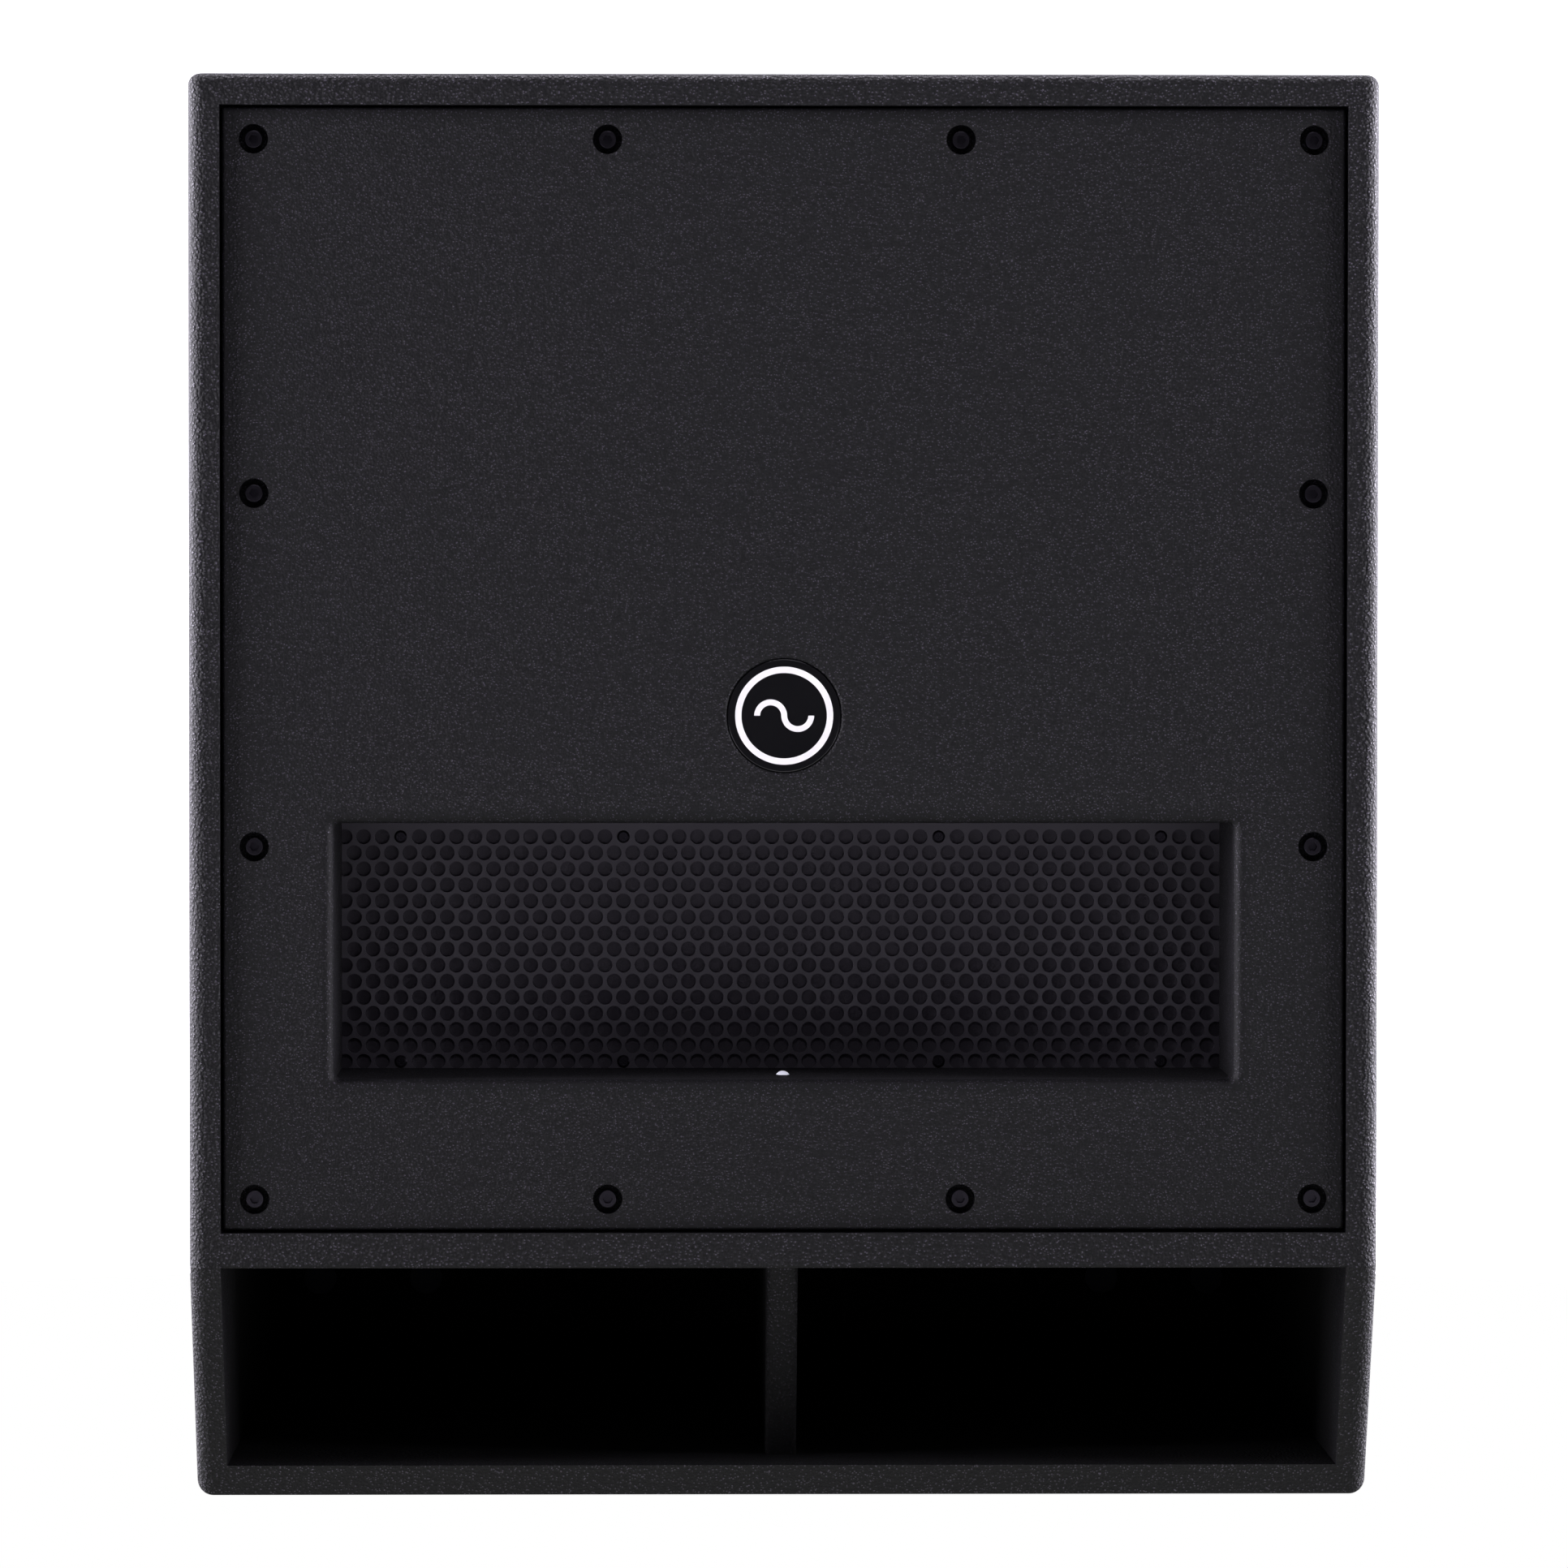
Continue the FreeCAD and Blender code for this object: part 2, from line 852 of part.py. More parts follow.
def is_near_handle(edge):
    """Whether the edge belongs to a handle's cut-out rather than to the board's rim."""
    middle = edge.CenterOfMass
    reach = value("flange_long")
    return any(
        abs(middle.y - value(y)) < reach and abs(middle.z - value("handle_height")) < reach
        for y in handle_places()
    )


def make_back_panel():
    body = new_body("back_panel")
    holes = [rectangle("-amp_half", "amp_low", "amp_half", "amp_high")]
    for x, z in castor_places():
        holes.append(circle(x, z, "insert_hole"))
    pad(body, "XZ", f"{BACK}-board", "board", [rectangle(f"-{INNER}", BASE_TOP, INNER, CEILING), *holes])
    return body


def castor_places():
    """Four rectangles of four holes, one near each corner of the back."""
    places = []
    for side in both("castor_side"):
        for height in ("castor_low", "castor_high"):
            for x in both("castor_wide/2"):
                for z in both("castor_tall/2"):
                    places.append((f"{side}+{x}", f"{height}+{z}"))
    return places


def make_port_shelf():
    body = new_body("port_shelf")
    pad(body, "YZ", f"-{INNER}", f"2*{INNER}", [rectangle(FRONT, SHELF_LOW, deep("port_length"), SHELF_TOP)])
    fillet(body, "shelf_lip", lambda edge: lies_at(edge, "y", FRONT) and lies_at(edge, "z", SHELF_LOW))
    fillet(
        body,
        "port_flare",
        lambda edge: lies_at(edge, "y", deep("port_length")) and runs_along(edge, "x"),
    )
    return body


def make_port_divider():
    body = new_body("port_divider")
    nose_top = f"{slant(SHELF_LOW)}+divider_setback"
    nose_low = f"{slant(BASE_TOP)}+divider_setback"
    profile = [
        (nose_top, SHELF_LOW),
        (nose_low, BASE_TOP),
        (deep("port_length"), BASE_TOP),
        (deep("port_length"), SHELF_LOW),
    ]
    pad(body, "YZ", "-divider_board/2", "divider_board", [profile])
    fillet(body, "divider_round", lambda edge: not runs_along(edge, "y") and not runs_along(edge, "x"))
    return body


def make_driver_baffle():
    body = new_body("driver_baffle")
    wire = circle("wire_side", f"({SHELF_TOP}+wire_hole*2)", "wire_hole")
    holes = [circle("0", CENTRE, "baffle_hole"), wire]
    for x, z in driver_bolt_places():
        holes.append(circle(x, z, "bolt_hole"))
    board = rectangle(f"-{INNER}", SHELF_TOP, INNER, CEILING)
    pad(body, "XZ", deep("baffle_depth"), "baffle_board", [board, *holes])
    return body


def driver_bolt_places():
    """Eight places on the bolt circle, the first half a step off the vertical."""
    places = []
    for number in range(8):
        angle = math.radians(22.5 + 45 * number)
        places.append((f"bolt_circle*{math.cos(angle):.6f}", f"{CENTRE}+bolt_circle*{math.sin(angle):.6f}"))
    return places


def make_rear_brace():
    body = new_body("rear_brace")
    window = rounded_rectangle("-brace_window", "brace_low", "brace_window", "brace_high", "brace_round")
    hole = circle("wire_side", f"({SHELF_TOP}+wire_hole*2)", "wire_hole")
    board = rectangle(f"-{INNER}", SHELF_TOP, INNER, CEILING)
    pad(body, "XZ", deep("brace_depth"), "board", [board, window, hole])
    return body


# ---------------------------------------------------------------- front panel
def panel_screw_places():
    """The rim of a four by four grid about the panel's centre."""
    steps = (-1.5, -0.5, 0.5, 1.5)
    return [
        (f"{across}*screw_pitch", f"{CENTRE}+{up}*screw_pitch")
        for across in steps
        for up in steps
        if 1.5 in (abs(across), abs(up))
    ]


PANEL_LEFT = f"(-{INNER}+panel_gap)"
PANEL_RIGHT = f"({INNER}-panel_gap)"
PANEL_LOW = f"({SHELF_TOP}+panel_gap_low)"
PANEL_HIGH = f"({CEILING}-panel_gap_top)"
PANEL_FACE = deep("panel_sunk")
PANEL_BACK = deep("panel_sunk+panel_board")
BATTEN_FACE = deep("panel_sunk+panel_board+gasket_thick")
BADGE_HEIGHT = f"({CENTRE}-badge_drop)"


def make_front_panel():
    body = new_body("front_panel")
    opening = rounded_rectangle("-vent_half", "vent_low", "vent_half", "vent_high", "vent_corner")
    rim = rectangle(PANEL_LEFT, PANEL_LOW, PANEL_RIGHT, PANEL_HIGH)
    pad(body, "XZ", PANEL_FACE, "panel_board", [rim, opening])

    def is_rim(edge):
        middle = edge.CenterOfMass
        inside = abs(middle.x) < value("vent_half+5")
        return not (inside and value("vent_low-5") < middle.z < value("vent_high+5"))

    fillet(body, "vent_lip", lambda edge: lies_at(edge, "y", PANEL_FACE) and not is_rim(edge))
    fillet(body, "panel_round", lambda edge: runs_along(edge, "y") and is_rim(edge))
    fillet(body, "panel_round", lambda edge: lies_at(edge, "y", PANEL_FACE) and is_rim(edge))
    wells = [circle(x, z, "counterbore") for x, z in panel_screw_places()]
    shanks = [circle(x, z, "bolt_hole") for x, z in panel_screw_places()]
    pocket(body, "XZ", PANEL_FACE, "counterbore_depth", wells)
    pocket(body, "XZ", PANEL_FACE, "panel_board", shanks)
    pocket(body, "XZ", PANEL_FACE, "badge_pocket", [circle("0", BADGE_HEIGHT, "badge_radius")])
    fillet(
        body,
        "badge_lip",
        lambda edge: lies_at(edge, "y", PANEL_FACE) and edge.BoundBox.XLength > value("badge_radius*1.9")
        and edge.BoundBox.XLength < value("badge_radius*2.1"),
    )
    return body


def make_front_panel_gasket():
    body = new_body("front_panel_gasket")
    outer = rectangle(PANEL_LEFT, PANEL_LOW, PANEL_RIGHT, PANEL_HIGH)
    inner = rectangle(
        f"{PANEL_LEFT}+gasket_width",
        f"{PANEL_LOW}+gasket_width",
        f"{PANEL_RIGHT}-gasket_width",
        f"{PANEL_HIGH}-gasket_width",
    )
    holes = [circle(x, z, "nut_hole") for x, z in panel_screw_places()]
    pad(body, "XZ", PANEL_BACK, "gasket_thick", [outer, inner, *holes])
    return body


def make_panel_battens():
    reach = (BATTEN_FACE, f"{BATTEN_FACE}+batten")
    full = (f"-{INNER}", INNER)
    upright = (f"{SHELF_TOP}+batten", f"{CEILING}-batten")
    strips = [
        block("batten_low", full, reach, (SHELF_TOP, f"{SHELF_TOP}+batten")),
        block("batten_high", full, reach, (f"{CEILING}-batten", CEILING)),
        block("batten_left", (f"-{INNER}", f"-{INNER}+batten"), reach, upright),
        block("batten_right", (f"{INNER}-batten", INNER), reach, upright),
    ]
    holes = [
        rod("batten_hole", "y", (x, BATTEN_FACE, z), "batten", "nut_hole")
        for x, z in panel_screw_places()
    ]
    return without("panel_battens", group("batten_strips", strips), holes)


def make_badge_disc():
    body = new_body("badge_disc", z=BADGE_HEIGHT)
    floor = deep("panel_sunk+badge_pocket")
    turned_about_y(
        body,
        [
            (f"{floor}-badge_thick", "0"),
            (floor, "0"),
            (floor, "badge_radius-badge_fit"),
            (f"{floor}-badge_thick", "badge_radius-badge_fit"),
        ],
    )
    fillet(body, "badge_round", lambda edge: lies_at(edge, "y", f"{floor}-badge_thick"))
    return body


def make_badge_emblem():
    """A plain ring and the usual sign for an alternating signal: two half circles end to end."""
    face = deep("panel_sunk+badge_pocket-badge_thick-emblem_thick")
    ring = new_body("emblem_ring", z=BADGE_HEIGHT)
    circles = [circle("0", "0", "emblem_outer"), circle("0", "0", "emblem_inner")]
    pad(ring, "XZ", face, "emblem_thick", circles)
    wave = new_body("emblem_wave", z=BADGE_HEIGHT)
    outer = "wave_radius+wave_stroke/2"
    inner = "wave_radius-wave_stroke/2"
    outline = [
        (f"-wave_radius-({outer})", "0", "right", f"({outer})*1.0001"),
        ("wave_stroke/2", "0", "left", f"({inner})*1.0001"),
        (f"wave_radius+({inner})", "0"),
        (f"wave_radius+({outer})", "0", "right", f"({outer})*1.0001"),
        ("-wave_stroke/2", "0", "left", f"({inner})*1.0001"),
        (f"-wave_radius-({inner})", "0"),
    ]
    pad(wave, "XZ", face, "emblem_thick", [outline])
    return group("badge_emblem", [ring, wave])


# ---------------------------------------------------------------- vent duct and grille
VENT_OUT = "(vent_half+vent_board)"
GRILLE_FACE = deep("grille_depth")
GRILLE_BACK = deep("grille_depth+grille_thick")
FOAM_BACK = deep("grille_depth+grille_thick+foam_thick")
GRILLE_ROWS = 15


def grille_screw_places():
    low_row = f"(grille_top_row-{GRILLE_ROWS - 1}*grille_pitch*sqrt(3)/2)"
    sides = (*both("grille_screw_far"), *both("grille_screw_near"))
    return [(x, z) for x in sides for z in ("grille_top_row", low_row)]


def make_vent_duct():
    """Four boards behind the front panel, and the two rails that clamp the grille to their ends."""
    full = (f"-{VENT_OUT}", VENT_OUT)
    reach = (PANEL_BACK, GRILLE_FACE)
    behind = (FOAM_BACK, f"{FOAM_BACK}+rail_board")
    inside = ("vent_low", "vent_high")
    floor = block("duct_floor", full, reach, ("vent_low-vent_board", "vent_low"))
    led_foot = ("0", deep("led_depth"), "vent_low-vent_board")
    led_hole = rod("duct_led_hole", "z", led_foot, "vent_board", "led_hole")
    rails = [
        block("rail_low", full, behind, ("vent_low-vent_board", "vent_low-vent_board+rail_low")),
        block("rail_high", full, behind, ("vent_high+vent_board-rail_top", "vent_high+vent_board")),
    ]
    pilots = [
        rod("rail_hole", "y", (x, FOAM_BACK, z), "small_screw_long", "small_screw_hole")
        for x, z in grille_screw_places()
    ]
    boards = [
        without("duct_floor_drilled", floor, [led_hole]),
        block("duct_roof", full, reach, ("vent_high", "vent_high+vent_board")),
        block("duct_left", (f"-{VENT_OUT}", "-vent_half"), reach, inside),
        block("duct_right", ("vent_half", VENT_OUT), reach, inside),
        without("rails_drilled", group("rails", rails), pilots),
    ]
    return group("vent_duct", boards)


def make_vent_grille():
    """A steel sheet with staggered round holes. One face with all its holes is pushed out in one go,
    because hundreds of separate cuts would take minutes."""
    pitch = value("grille_pitch")
    row_pitch = pitch * math.sqrt(3) / 2
    facing = FreeCAD.Vector(0, 1, 0)
    y = value(GRILLE_FACE)
    side = value(VENT_OUT)
    low = value("vent_low-vent_board")
    high = value("vent_high+vent_board")
    corners = [(-side, low), (side, low), (side, high), (-side, high), (-side, low)]
    wires = [Part.makePolygon([FreeCAD.Vector(x, y, z) for x, z in corners])]
    screws = [value(x) for x, z in grille_screw_places()]
    for row in range(GRILLE_ROWS):
        holes = 48 if row % 2 == 0 else 47
        z = value("grille_top_row") - row * row_pitch
        for number in range(holes):
            x = (number - (holes - 1) / 2) * pitch
            for_screw = row in (0, GRILLE_ROWS - 1) and min(abs(x - spot) for spot in screws) < pitch / 4
            radius = value("grille_screw_hole" if for_screw else "grille_hole")
            ring = Part.makeCircle(radius, FreeCAD.Vector(x, y, z), facing)
            wires.append(Part.Wire([ring]))
    face = Part.makeFace(wires, "Part::FaceMakerBullseye")
    grille = doc.addObject("Part::Feature", "vent_grille")
    grille.Shape = face.extrude(facing * value("grille_thick"))
    grille.Placement = FreeCAD.Placement()
    return grille


def make_grille_foam():
    """Open black foam behind the grille, pierced by the grille's screws."""
    full = (f"-{VENT_OUT}", VENT_OUT)
    rise = ("vent_low-vent_board", "vent_high+vent_board")
    layer = block("foam_layer", full, (GRILLE_BACK, FOAM_BACK), rise)
    holes = [
        rod("foam_hole", "y", (x, GRILLE_BACK, z), "foam_thick", "small_screw_hole")
        for x, z in grille_screw_places()
    ]
    return without("grille_foam", layer, holes)


def make_led_lens():
    """A clear domed lens that stands up through the duct's floor."""
    body = new_body("front_led_lens", y=deep("led_depth"))
    dome = "(led_radius*led_radius+led_dome*led_dome)/(2*led_dome)"
    turned_about_z(
        body,
        [
            ("0", "vent_low-vent_board"),
            ("led_radius", "vent_low-vent_board"),
            ("led_radius", "vent_low", "left", dome),
            ("0", "vent_low+led_dome"),
        ],
    )
    return body


def make_led_board():
    """The small circuit board under the duct's floor, with its plug socket towards the back."""
    top = "(vent_low-vent_board)"
    low = f"({top}-led_board_thick)"
    y = deep("led_depth")
    back = f"{y}+led_board_half"
    socket_rise = (f"{low}-led_socket_tall", low)
    pieces = [
        block("led_plate", both("led_board_half"), (f"{y}-led_board_half", back), (low, top)),
        block("led_socket", both("led_board_half/2"), (f"{back}-led_board_half/2", back), socket_rise),
    ]
    return fused("front_led_board", pieces)


# ---------------------------------------------------------------- driver
def driver_body(label):
    """The driver's parts turn about an axis along Y through the centre of the front panel."""
    return new_body(label, z=CENTRE)


def make_driver_basket():
    body = driver_body("driver_basket")
    turned_about_y(
        body,
        [
            (deep("baffle_depth-flange_thick"), "flange_inner"),
            (deep("baffle_depth-flange_thick"), "flange_radius"),
            (deep("baffle_depth"), "flange_radius"),
            (deep("baffle_depth"), "basket_skirt"),
            (deep("basket_skirt_end"), "basket_skirt"),
            (deep("basket_waist_depth"), "basket_waist"),
            (deep("basket_end"), "basket_waist"),
            (deep("basket_end"), "basket_throat"),
            (deep("basket_end-basket_floor"), "basket_throat"),
            (deep("basket_end-basket_floor"), "basket_bore"),
            (deep("basket_ledge_depth"), "basket_bore"),
            (deep("basket_ledge_depth"), "basket_waist-7"),
            (deep("basket_skirt_end-2"), "flange_inner-1"),
        ],
    )
    window = [
        ("-window_inner_half", "window_inner"),
        ("window_inner_half", "window_inner"),
        ("window_outer_half", "window_outer"),
        ("-window_outer_half", "window_outer"),
    ]
    opened = pocket(
        body, "XZ", deep("basket_skirt_end-8"), "basket_waist_depth-basket_skirt_end+20", [window]
    )
    angle = math.radians(22.5)
    hole = circle(f"bolt_circle*{math.sin(angle):.6f}", f"bolt_circle*{math.cos(angle):.6f}", "bolt_hole")
    drilled = pocket(body, "XZ", deep("baffle_depth-flange_thick"), "flange_thick", [hole])
    for original in (opened, drilled):
        pattern = body.newObject("PartDesign::PolarPattern", "around")
        pattern.Originals = [original]
        pattern.Axis = (origin_feature(body, "Y_Axis"), [""])
        pattern.Angle = 360
        pattern.Occurrences = 8
        body.Tip = pattern
        doc.recompute()
    return body


def make_driver_cone():
    body = driver_body("driver_cone")
    rim = deep("baffle_depth-flange_thick")
    neck = deep("cone_neck_depth")
    turned_about_y(
        body,
        [
            (rim, "cone_rim"),
            (rim, "cone_edge"),
            (f"{rim}+paper", "cone_edge"),
            (f"{rim}+paper", "cone_rim+1"),
            (f"{neck}+paper", "cone_neck"),
            (neck, "cone_neck"),
        ],
    )
    return body


def make_driver_surround():
    """A half roll of treated cloth between the cone's rim and the basket's flange."""
    body = driver_body("driver_surround")
    face = deep("baffle_depth-flange_thick")
    half_inner = "roll_inner"
    half_outer = "sqrt(roll_outer*roll_outer-roll_skin*roll_skin)"
    turned_about_y(
        body,
        [
            (face, "cone_rim"),
            (face, f"roll_centre-{half_inner}", "right", "roll_inner*1.0002"),
            (face, f"roll_centre+{half_inner}"),
            (face, "surround_edge"),
            (f"{face}-roll_skin", "surround_edge"),
            (f"{face}-roll_skin", f"roll_centre+{half_outer}", "left", "roll_outer"),
            (f"{face}-roll_skin", f"roll_centre-{half_outer}"),
            (f"{face}-roll_skin", "cone_rim"),
        ],
    )
    return body


def make_dust_cap():
    body = driver_body("dust_cap")
    rim = deep("cap_depth")
    apex = deep("cap_depth-cap_tall")
    bow = "(cap_radius*cap_radius+cap_tall*cap_tall)/(2*cap_tall)"
    turned_about_y(
        body,
        [
            (apex, "0", "right", bow),
            (rim, "cap_radius"),
            (f"{rim}+paper", "cap_radius", "left", bow),
            (f"{apex}+paper", "0"),
        ],
    )
    return body


def make_driver_spider():
    """A corrugated cloth disc: the same row of shallow arcs twice, one skin's thickness apart."""
    body = driver_body("driver_spider")
    face = deep("spider_depth")
    back = f"{face}+spider_skin"
    rolls = 5
    crests = [f"spider_start+{number}*spider_pitch" for number in range(rolls + 1)]
    outward = [(face, "spider_inner")]
    inward = [(back, "spider_edge")]
    for number, radius in enumerate(crests[:-1]):
        outward.append((face, radius, "right" if number % 2 == 0 else "left", "spider_roll"))
    outward.append((face, crests[-1]))
    outward.append((face, "spider_edge"))
    for number in range(rolls, 0, -1):
        inward.append((back, crests[number], "left" if number % 2 == 1 else "right", "spider_roll"))
    inward.append((back, crests[0]))
    inward.append((back, "spider_inner"))
    turned_about_y(body, outward + inward)
    return body


def make_voice_coil():
    body = driver_body("voice_coil")
    turned_about_y(
        body,
        [
            (deep("coil_start"), "coil_inner"),
            (deep("coil_end"), "coil_inner"),
            (deep("coil_end"), "coil_former"),
            (deep("winding_end"), "coil_former"),
            (deep("winding_end"), "coil_outer"),
            (deep("winding_start"), "coil_outer"),
            (deep("winding_start"), "coil_former"),
            (deep("coil_start"), "coil_former"),
        ],
    )
    return body


def make_ring(label, start, thick, bore, radius):
    body = driver_body(label)
    end = f"{start}+{thick}"
    turned_about_y(body, [(start, bore), (end, bore), (end, radius), (start, radius)])
    return body


PLATE_FACE = deep("basket_end")
MAGNET_FACE = deep("basket_end+plate_thick")
YOKE_FACE = deep("basket_end+plate_thick+magnet_thick")


def make_pole_yoke():
    """The magnet's back plate and centre pole in one piece, with a vent through it."""
    body = driver_body("pole_yoke")
    turned_about_y(
        body,
        [
            (PLATE_FACE, "pole_vent"),
            (f"{YOKE_FACE}+yoke_thick", "pole_vent"),
            (f"{YOKE_FACE}+yoke_thick", "yoke_radius"),
            (YOKE_FACE, "yoke_radius"),
            (YOKE_FACE, "pole_radius"),
            (PLATE_FACE, "pole_radius"),
        ],
    )
    return body


def make_driver_terminals():
    """An insulating block under the basket with two push posts towards the back."""
    top = f"({CENTRE}-basket_waist-0.2)"
    back = deep("basket_end-4")
    reach = (f"{back}-terminal_thick", back)
    pieces = [block("terminal_block", both("terminal_half"), reach, (f"{top}-terminal_tall", top))]
    for x in both("terminal_half/2"):
        foot = (x, back, f"{top}-terminal_tall/2")
        pieces.append(rod("terminal_post", "y", foot, "post_long", "post_radius"))
    return fused("driver_terminals", pieces)


# ---------------------------------------------------------------- cables held inside the cabinet
def tube(label, route, radius):
    """A round cable: straight runs joined by tangent arcs, each as large as its two runs allow."""
    points = [FreeCAD.Vector(*(value(part) for part in point)) for point in route]
    edges = []
    radii = []
    start = points[0]
    for before, corner, after in zip(points, points[1:], points[2:]):
        into = (corner - before).normalize()
        away = (after - corner).normalize()
        turn = into.getAngle(away)
        reach = 0.45 * min((corner - before).Length, (after - corner).Length)
        bend = reach / math.tan(turn / 2)
        centre = corner + (away - into).normalize() * (bend / math.cos(turn / 2))
        middle = centre + (corner - centre).normalize() * bend
        first = corner - into * reach
        last = corner + away * reach
        edges.append(Part.LineSegment(start, first).toShape())
        edges.append(Part.Arc(first, middle, last).toShape())
        radii.append(bend)
        start = last
    edges.append(Part.LineSegment(start, points[-1]).toShape())
    path = Part.Wire(edges)
    heading = (points[1] - points[0]).normalize()
    section = Part.Wire([Part.makeCircle(value(radius), points[0], heading)])
    cable = doc.addObject("Part::Feature", label)
    cable.Shape = path.makePipeShell([section], True, False)
    cable.Placement = FreeCAD.Placement()
    expected = math.pi * value(radius) ** 2 * path.Length
    print(f"{label}: {path.Length:.0f} mm long, radii {[round(bend) for bend in radii]}")
    if abs(cable.Shape.Volume / expected - 1) > 0.01:
        raise ValueError(f"{label} has the wrong volume")
    return cable


TERMINAL_HEIGHT = f"({CENTRE}-basket_waist-0.2-terminal_tall/2)"
WIRE_HEIGHT = f"({SHELF_TOP}+wire_hole*2)"
SPEAKER_ROUTE = [
    ("0", deep("depth-board-housing_deep"), "290"),
    ("0", deep("552"), "290"),
    ("0", deep("525"), "288"),
    ("4", deep("480"), "280"),
    ("12", deep("425"), "268"),
    ("16", deep("370"), "262"),
    ("13", deep("325"), "264.5"),
    ("10", deep("301"), TERMINAL_HEIGHT),
    ("10", deep("277"), TERMINAL_HEIGHT),
]
LED_ROUTE = [
    ("0", deep("led_depth+led_board_half"), "190.8"),
    ("0", deep("71"), "190.8"),
    ("5", deep("90"), "180"),
    ("15", deep("104"), "161"),
    ("25", deep("121"), "148"),
    ("30", deep("142"), WIRE_HEIGHT),
    ("30", deep("180"), WIRE_HEIGHT),
    ("33", deep("220"), "139"),
    ("36", deep("290"), "137.6"),
    ("33", deep("365"), "139"),
    ("30", deep("418"), WIRE_HEIGHT),
    ("30", deep("474"), WIRE_HEIGHT),
    ("27", deep("515"), "150"),
    ("22", deep("555"), "167"),
    ("20", deep("590"), "196"),
    ("20", deep("610"), "amp_low+amp_ledge+housing_gap"),
]


# ---------------------------------------------------------------- handles
def make_handle_cup():
    """A drawn steel dish with a flange, its mouth up and the cabinet's surface at Z = 0."""
    under = "-handle_rebate"
    rim = rounded_rectangle("-flange_long", "-flange_wide", "flange_long", "flange_wide", "flange_corner")
    holes = [
        circle(x, y, "wood_screw_hole") for x in both("handle_screw_long") for y in both("handle_screw_wide")
    ]
    dish = rounded_rectangle("-cup_long", "-cup_wide", "cup_long", "cup_wide", "cup_corner")
    outside = new_body("handle_cup_outside")
    pad(outside, "XY", "-cup_deep", f"cup_deep{under}", [dish])
    fillet(outside, "cup_floor_round", lambda edge: lies_at(edge, "z", "-cup_deep"))
    pad(outside, "XY", under, "flange_sheet", [rim, *holes])
    hollow = rounded_rectangle(
        "-(cup_long-cup_wall)",
        "-(cup_wide-cup_wall)",
        "(cup_long-cup_wall)",
        "(cup_wide-cup_wall)",
        "(cup_corner-cup_wall)",
    )
    inside = new_body("handle_cup_inside")
    pad(inside, "XY", "-cup_deep+cup_wall", "cup_deep", [hollow])
    fillet(inside, "cup_floor_round-cup_wall", lambda edge: lies_at(edge, "z", "-cup_deep+cup_wall"))
    return without("handle_cup", outside, [inside])


def make_handle_bar():
    """A steel bar across the dish, thicker where the moulded grip is; drawn along X."""
    body = new_body("handle_bar")
    end = "(cup_long-cup_wall)"
    profile = [
        (f"-{end}", "0"),
        (end, "0"),
        (end, "bar_radius"),
        ("grip_long", "bar_radius"),
        ("grip_long", "grip_radius"),
        ("-grip_long", "grip_radius"),
        ("-grip_long", "bar_radius"),
        (f"-{end}", "bar_radius"),
    ]
    turned(body, "XZ", "H_Axis", profile)
    fillet(
        body,
        "grip_round",
        lambda edge: abs(abs(edge.CenterOfMass.x) - value("grip_long")) < 0.01
        and edge.BoundBox.YLength > value("grip_radius*1.9"),
    )
    return body


def handle_cup_places(side):
    """The link's own X runs along the cabinet's depth once it faces sideways."""
    x = f"-{HALF}" if side == "left" else HALF
    return [(side, x, y, "handle_height") for y in handle_places()]


def handle_screw_places():
    places = []
    for side in ("left", "right"):
        sunk = "(handle_rebate-flange_sheet)"
        x = f"-{HALF}+{sunk}" if side == "left" else f"{HALF}-{sunk}"
        for y in handle_places():
            for along in both("handle_screw_long"):
                for up in both("handle_screw_wide"):
                    places.append((side, x, f"{y}+{along}", f"handle_height+{up}"))
    return places


def make_handle_bars():
    places = []
    for side in ("left", "right"):
        x = f"-{HALF}+bar_sunk" if side == "left" else f"{HALF}-bar_sunk"
        places += [(side, x, y, "handle_height") for y in handle_places()]
    return copies("handle_bars", make_handle_bar(), places)


# ---------------------------------------------------------------- pole socket and feet
def make_pole_socket():
    """A flanged sleeve for a loudspeaker pole, with a thread in its lower end."""
    body = new_body("pole_socket")
    seat = "(height-socket_rebate)"
    face = f"({seat}+socket_flange_thick)"
    step = f"({face}-socket_deep)"
    turned_about_z(
        body,
        [
            ("socket_thread", f"{step}-socket_thread_long"),
            ("socket_outer", f"{step}-socket_thread_long"),
            ("socket_outer", seat),
            ("socket_flange", seat),
            ("socket_flange", face),
            ("socket_bore+socket_mouth", face),
            ("socket_bore", f"{face}-socket_mouth"),
            ("socket_bore", step),
            ("socket_thread", step),
        ],
    )
    holes = [circle(x, y, "wood_screw_hole") for x, y in socket_screw_places()]
    pocket(body, "XY", seat, "socket_flange_thick", holes)
    return body


def make_foot():
    """A low rubber foot; it hangs from Z = 0, and its screw sits in a well."""
    body = new_body("foot")
    turned_about_z(
        body,
        [
            ("wood_screw_hole", "-foot_lift+foot_well_deep"),
            ("foot_well", "-foot_lift+foot_well_deep"),
            ("foot_well", "-foot_lift"),
            ("foot_foot", "-foot_lift"),
            ("foot_radius", "0"),
            ("wood_screw_hole", "0"),
        ],
    )
    return body


